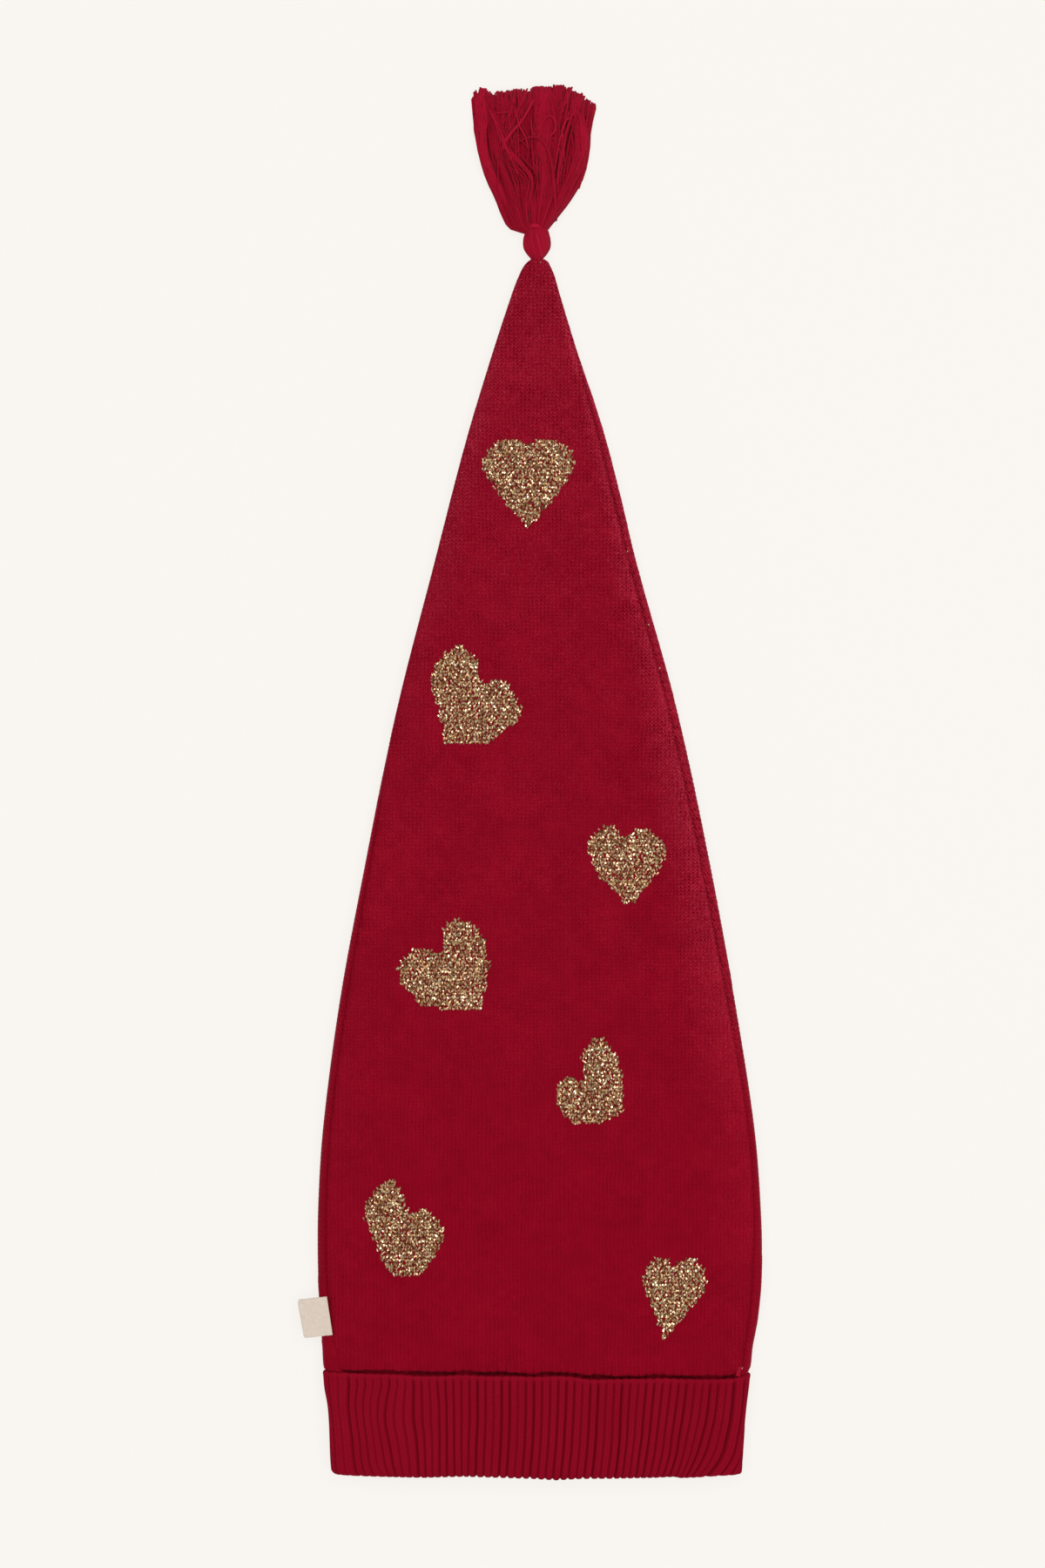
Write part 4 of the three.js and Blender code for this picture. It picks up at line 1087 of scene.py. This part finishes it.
# Locks that lie loose over the fan: strands, spread in mm, and points across, up and above the other strands
looseLocks = (
    (4, 0.4, ((8.9, 606.0, 0.5), (8.3, 620.9, 1.0), (7.4, 630.5, 1.1), (6.0, 636.9, 1.3), (3.8, 642.4, 1.5),
              (0.6, 645.3, 1.6), (-4.5, 645.3, 1.3), (-9.7, 643.4, 0.5))),
    (2, 0.3, ((-1.5, 646.0, 0.4), (2.2, 652.4, 0.9), (4.5, 655.6, 1.2), (7.4, 655.6, 1.2), (8.9, 651.7, 1.0),
              (8.0, 647.9, 0.9), (4.5, 644.7, 0.4))),
    (8, 1.3, ((-15.8, 642.7, 0.2), (-12.3, 637.6, 0.6), (-7.8, 632.4, 0.8), (-3.9, 627.9, 0.8),
              (-2.6, 623.4, 0.6), (-3.6, 617.7, 0.4), (-4.5, 611.9, 0.1))),
    (3, 0.8, ((-11.0, 661.4, 0.2), (-8.4, 651.7, 0.8), (-5.5, 646.6, 0.9), (-3.5, 640.0, 0.4))),
    (3, 0.8, ((-0.7, 665.9, 0.2), (-4.5, 658.1, 0.7), (-7.8, 652.7, 0.9), (-11.6, 648.5, 0.9),
              (-14.8, 644.0, 0.7), (-16.8, 638.8, 0.2))),
    (1, 0.0, ((-20.0, 657.5, 0.3), (-16.5, 658.0, 0.7), (-13.5, 658.1, 0.3))),
    (5, 1.2, ((-23.2, 662.6, 0.1), (-19.3, 654.3, 0.5), (-14.8, 642.7, 0.7), (-12.3, 637.6, 0.6),
              (-8.2, 628.3, 0.1))),
    (5, 1.0, ((19.2, 662.6, 0.1), (16.0, 653.0, 0.5), (13.4, 642.7, 0.6), (10.9, 630.5, 0.5),
              (10.2, 618.9, 0.1))),
    (2, 0.5, ((6.7, 668.0, 0.1), (7.4, 660.7, 0.6), (8.9, 653.1, 0.6), (9.5, 645.0, 0.1))),
    (1, 0.0, ((-29.6, 659.4, -1.6), (-30.2, 652.0, -1.6), (-29.3, 646.2, -1.6), (-27.0, 638.0, -1.6))),
    (1, 0.0, ((25.4, 646.7, -1.6), (25.3, 640.6, -1.6), (23.4, 631.2, -1.6), (20.4, 622.0, -1.4))),
)


def fanCrest(share, row):
    power = tassel["fanPower"]
    return row["side"] + (row["top"] - row["side"]) * (1 - np.abs(share) ** power) ** (1 / power)


def strandPaths():
    look = tassel
    locks, each, spread = look["locks"], look["perLock"], look["lockSpread"]
    lockShare = np.linspace(-1, 1, locks) + dice.normal(0, 0.012, locks)
    lockLayer = 0.45 + 0.27 * (dice.permutation(locks) % 3)
    count = locks * each
    lock = np.repeat(np.arange(locks), each)
    filler = dice.random(count) < look["filler"]
    anywhere = dice.uniform(-0.97, 0.97, count)
    share = np.where(filler, anywhere, lockShare[lock] + dice.normal(0, spread, count))
    share = np.clip(share, -1, 1)[:, None]
    layer = np.where(filler, dice.uniform(0, 0.75, count), lockLayer[lock] + dice.normal(0, 0.13, count))
    layer = np.clip(layer, 0.02, 1)[:, None]
    even = dice.uniform(0, 1, (count, 1)) ** 0.5
    t = np.linspace(0, 1, look["points"]) ** 1.6
    endX = share * halfAt(share, rowsAt(fringeTable, look["fanUp"]))
    ragged = np.where(dice.random((count, 1)) < 0.1, 2.4, 1.0) * dice.normal(0, look["ragged"], (count, 1))
    endUp = np.interp(endX, look["cutX"], look["cutUp"]) - np.abs(ragged)
    endUp = endUp - 2.2 * (1 - layer) * dice.random((count, 1))
    # Each lock ends in a rounded tuft of its own height
    inLock = np.where(filler, 1.5, (share[:, 0] - lockShare[lock]) / spread)[:, None]
    endUp = endUp + dice.normal(0.3, 0.45, locks)[lock][:, None] - 0.3 * np.minimum(inLock ** 2, 5)
    up = look["start"] + (endUp - look["start"]) * t
    row = rowsAt(fringeTable, up)
    drift = unit((up - 610) / 38)
    waves = [dice.uniform(low, high, locks)[lock][:, None] for low, high in ((7, 13), (0, 6))]
    sway = dice.normal(0, look["sway"], locks)[lock][:, None] * np.sin(up / waves[0] + waves[1])
    own = look["wave"] * np.sin(up / dice.uniform(4.5, 11, (count, 1)) + dice.uniform(0, 6, (count, 1)))
    own = own + look["kink"] * np.sin(up / dice.uniform(1.6, 3, (count, 1)) + dice.uniform(0, 6, (count, 1)))
    # The cut ends curl aside
    reach = look["curlReach"]
    own = own + dice.normal(0, look["curl"], (count, 1)) * unit((up - endUp + reach) / reach) ** 2
    bends = (look["bendIn"], look["bendOut"])
    inward, outward = (amount * bell((up - at) / wide) for amount, at, wide in bends)
    sway = sway + (inward - outward) * bell((share - look["bendShare"]) / look["bendWide"])
    x = share * (halfAt(share, row) - look["radius"]) + drift * (sway + own) * (1 - np.abs(share) ** 6)
    low = row["base"] + 0.7
    depth = even + (layer - even) * unit((up - 612) / 30)
    z = low + depth * (fanCrest(share, row) - low - 0.3) + 0.3 * drift * np.sin(up / 6 + 5 * share)
    radii = look["radius"] * dice.uniform(0.8, 1.2, (count, 1)) * np.linspace(0.9, 1.05, look["points"])
    # Each lock has its own depth of red, and strands lower in the fan are painted darker: painted shade under
    # the strands above them
    tones = 0.47 + 0.25 * (layer[:, 0] - 0.5) + dice.normal(0, 0.16, locks)[lock]
    tones = tones + dice.normal(0, 0.08, count)
    return np.stack([x, up, np.maximum(z, 0.6)], -1), radii, look["sides"], unit(tones)


def loosePaths():
    look = tassel
    loose = []
    for strands, spread, route in looseLocks:
        for number in range(strands):
            path = smoothPath(route, 24)
            aside = dice.normal(0, spread) if number else 0.0
            path[:, 0] += aside + 0.25 * spread * np.sin(path[:, 1] / 4 + dice.uniform(0, 6))
            path[:, 1] += 0.5 * aside
            loose.append(path)
    for number in range(look["crossing"]):
        foot, top = dice.uniform(-20, 14), dice.uniform(646, 662)
        lean, run = dice.normal(0, 3.5), dice.uniform(12, 30)
        bow = dice.normal(0.5, 0.35) * lean
        route = [(foot, top - run, 0.1), (foot + bow, top - 0.5 * run, 0.5), (foot + lean, top, 0.2)]
        loose.append(smoothPath(route, 24))
    loose = np.array(loose)
    x, up, z = np.moveaxis(loose, -1, 0)
    row = rowsAt(fringeTable, up)
    z += np.maximum(fanCrest(np.clip(np.abs(x) / halfAt(x, row), 0, 0.99), row), 1.0) - 0.1
    # Both ends of a loose yarn go back in among the others
    place = np.arange(loose.shape[1])
    z -= 1.4 * (bell(place / 2) + bell((place[-1] - place) / 2))
    loose[..., 2] = np.maximum(z, 0.5)
    return loose, look["looseRadius"], look["sides"], unit(dice.normal(0.62, 0.18, len(loose)))


# Close-packed yarn inside the fan, seen only between the strands; its darker red is painted shade between them
def tasselCore():
    look = tassel
    shares, ups = np.meshgrid(np.linspace(-0.93, 0.93, 61), np.linspace(0, 1, 31))
    x = shares * halfAt(shares, rowsAt(fringeTable, look["fanUp"]))
    up = look["start"] + (np.interp(x, look["cutX"], look["cutUp"]) - 3.2 - look["start"]) * ups
    row = rowsAt(fringeTable, up)
    x = shares * (halfAt(shares, row) - 0.9)
    low = row["base"] + 0.9
    high = low + look["core"] * np.maximum(fanCrest(shares, row) - low, 0.2)
    high = high + 0.35 * np.cos(shares * 95 + 2 * softNoise(x, up, 8, 21))
    points = np.stack([[x, up, high], [x, up, np.minimum(low, high - 0.3)]])
    points = np.moveaxis(points, 1, -1).reshape(-1, 3)
    ids = np.arange(x.size).reshape(x.shape)
    faces = cells(ids)
    rim = np.concatenate([ids[0], ids[1:, -1], ids[-1, -2::-1], ids[-2:0:-1, 0]])
    walls = cells(closed(np.stack([rim, rim + x.size], 1), 0))
    triangles = np.concatenate([faces, faces[:, ::-1] + x.size, walls])
    strand = np.stack([0.3 + 0.2 * np.cos(shares * 95), up, shares * 30], -1).reshape(-1, 3)
    values = {"strand": np.tile(strand, (2, 1))}
    makePiece("tassel_core", points, triangles, values, looseCotton, True)


yarnPiece("tassel_strands", [strandPaths(), loosePaths()], ["tassel_fringe"])
tasselCore()

# Head of the tassel: yarn drawn over a ball from the tie to the tip of the crown, and the thread that ties it
tasselHead = {
    "ups": (586.6, 588.3, 590.2, 592.6, 595.0, 597.4, 599.6, 601.2, 602.4, 603.2),
    "radii": (2.6, 2.9, 4.5, 6.0, 6.5, 6.3, 5.7, 5.2, 4.4, 3.4),
    # The ball is a darker red than the yarn over it: painted shade in the gaps between the strands
    "flatten": 0.88, "middle": 5.9, "strands": 40, "strandRadius": 0.78, "ballInset": 0.7, "ballShadeTone": 0.2,
    # One paler yarn crosses the ball
    "crossing": (
        (-0.4, 598.6, 12.0), (0.2, 596.8, 12.3), (1.0, 594.0, 12.0), (1.9, 590.8, 10.4), (2.4, 588.2, 8.9),
    ),
    "crossingRadius": 0.55, "crossingTone": 0.95,
    "tieRadius": 4.3, "tieThread": 0.75, "tieUp": (602.7, 603.7), "tieTurns": 2, "tieTone": 1.2,
    # The one place where the tie stands out from the yarn
    "knotX": -1.3, "knotWide": 2.2, "knotLift": 1.7,
}


def makeHead():
    look = tasselHead
    count, outline = look["strands"], np.stack([look["ups"], look["radii"]], 1)
    line, core = smoothPath(outline, 22), smoothPath(outline, 16)
    angle = 2 * math.pi * (np.arange(count) + dice.normal(0, 0.12, count)) / count
    twist = angle[:, None] + 0.3 * (line[:, 0] - 595) / 8 + dice.normal(0, 0.02, (count, 1))
    bulge = line[:, 1] - 0.5 + dice.normal(0, 0.1, (count, 1))
    x, z = bulge * np.cos(twist), look["middle"] + look["flatten"] * bulge * np.sin(twist)
    strands = np.stack([x, line[:, 0] + 0 * x, z], -1)
    ball = np.stack([0 * core[:, 0], core[:, 0], 0 * core[:, 0] + look["middle"]], -1)
    crossing = smoothPath(look["crossing"], 22)
    groups = [
        (strands, look["strandRadius"], 5, unit(dice.normal(0.64, 0.07, count))),
        (ball[None], core[:, 1] * look["flatten"] - look["ballInset"], 14, look["ballShadeTone"]),
        (crossing[None], look["crossingRadius"], 6, look["crossingTone"]),
    ]
    yarnPiece("tassel_ball", groups, ["tassel_head"])
    turn = np.linspace(0, 2 * math.pi * look["tieTurns"], 30 * look["tieTurns"])
    x, up = look["tieRadius"] * np.cos(turn), np.linspace(*look["tieUp"], len(turn))
    z = look["middle"] + look["flatten"] * look["tieRadius"] * np.sin(turn)
    z = z + look["knotLift"] * bell((x - look["knotX"]) / look["knotWide"]) * (z > look["middle"])
    ring = np.stack([x, up, z], -1)
    yarnPiece("tassel_binding", [(ring[None], look["tieThread"], 7, look["tieTone"])], ["tassel_tie"])


makeHead()

# Linking yarn beside the right seam: slanting stitches in columns, each with its distance out from the seam,
# height over the cloth and depth of red
seams = {
    "spacing": 4.4, "length": 6.2, "radius": 0.34, "taper": (0.45, 0.95, 1.0, 0.95, 0.45),
    "lean": -1.5, "bow": 1.6,
    "columns": ((0.5, -0.35, 0.5), (1.45, -0.15, 0.85), (2.45, -0.2, 0.65)),
    "first": 205.0, "last": 530.0, "fadeLow": 60.0, "fadeHigh": 14.0, "sink": 0.6,
    # The yarn's end, tucked in at the corner of the cuff
    "end": ((97.6, 54.2, 13.4), (97.2, 53.0, 14.0), (96.8, 51.6, 14.8), (96.4, 50.0, 15.0)),
    "endRadius": 1.1, "endTone": 0.7,
    # Short ends of gold yarn: places across and up
    "gold": ((43.5, 446.0), (45.2, 430.1), (53.6, 410.8), (59.0, 389.8), (98.6, 53.2), (1.9, 585.6)),
    "goldRadius": 0.22, "goldGlint": 0.75,
}


def sewSeams():
    look = seams
    steps = np.linspace(-0.5, 0.5, len(look["taper"]))
    groups = []
    for number, (outward, above, tone) in enumerate(look["columns"]):
        middles = np.arange(look["first"] + number * look["spacing"] / 3, look["last"], look["spacing"])
        count = len(middles)
        up = middles[:, None] + steps * look["length"] * dice.uniform(0.85, 1.1, (count, 1))
        row = rowsAt(crownTable, up)
        narrow = np.clip(row["seamRight"] / 4, 0.25, 1.1)
        away = narrow * (outward + look["lean"] * steps + dice.normal(0, 0.1, (count, 1)))
        x = row["right"] - row["seamRight"] + away
        shown = np.minimum((up - look["first"]) / look["fadeLow"], (look["last"] - up) / look["fadeHigh"])
        above = above - look["sink"] * (1 - unit(shown))
        z = dome(x / row["right"], row) + narrow * (above - look["bow"] * steps ** 2)
        radii = look["radius"] * narrow * np.array(look["taper"])
        groups.append((np.stack([x, up, z], -1), radii, 5, unit(dice.normal(tone, 0.25, count))))
    groups.append((smoothPath(look["end"], 9)[None], look["endRadius"], 7, look["endTone"]))
    yarnPiece("linking_yarn", groups, [])
    x, up = np.array(look["gold"]).T
    row = rowsAt(crownTable, up)
    z = dome(x / row["right"], row)
    bends = np.array([(-0.35, -0.5, -0.5), (0, 0, 0.25), (0.3, 0.45, -0.4)])
    paths = np.stack([x, up, z], -1)[:, None] + bends
    points, triangles = yarns(paths, look["goldRadius"], 5)[:2]
    # Painted glint of the gold ends, the same for all
    values = {"glint": np.full(len(points), look["goldGlint"])}
    makePiece("gold_ends", points, triangles, values, foilYarn, False)


sewSeams()

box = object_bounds()
{"cad": cadBox, "visual": [list(corner) for corner in box]}
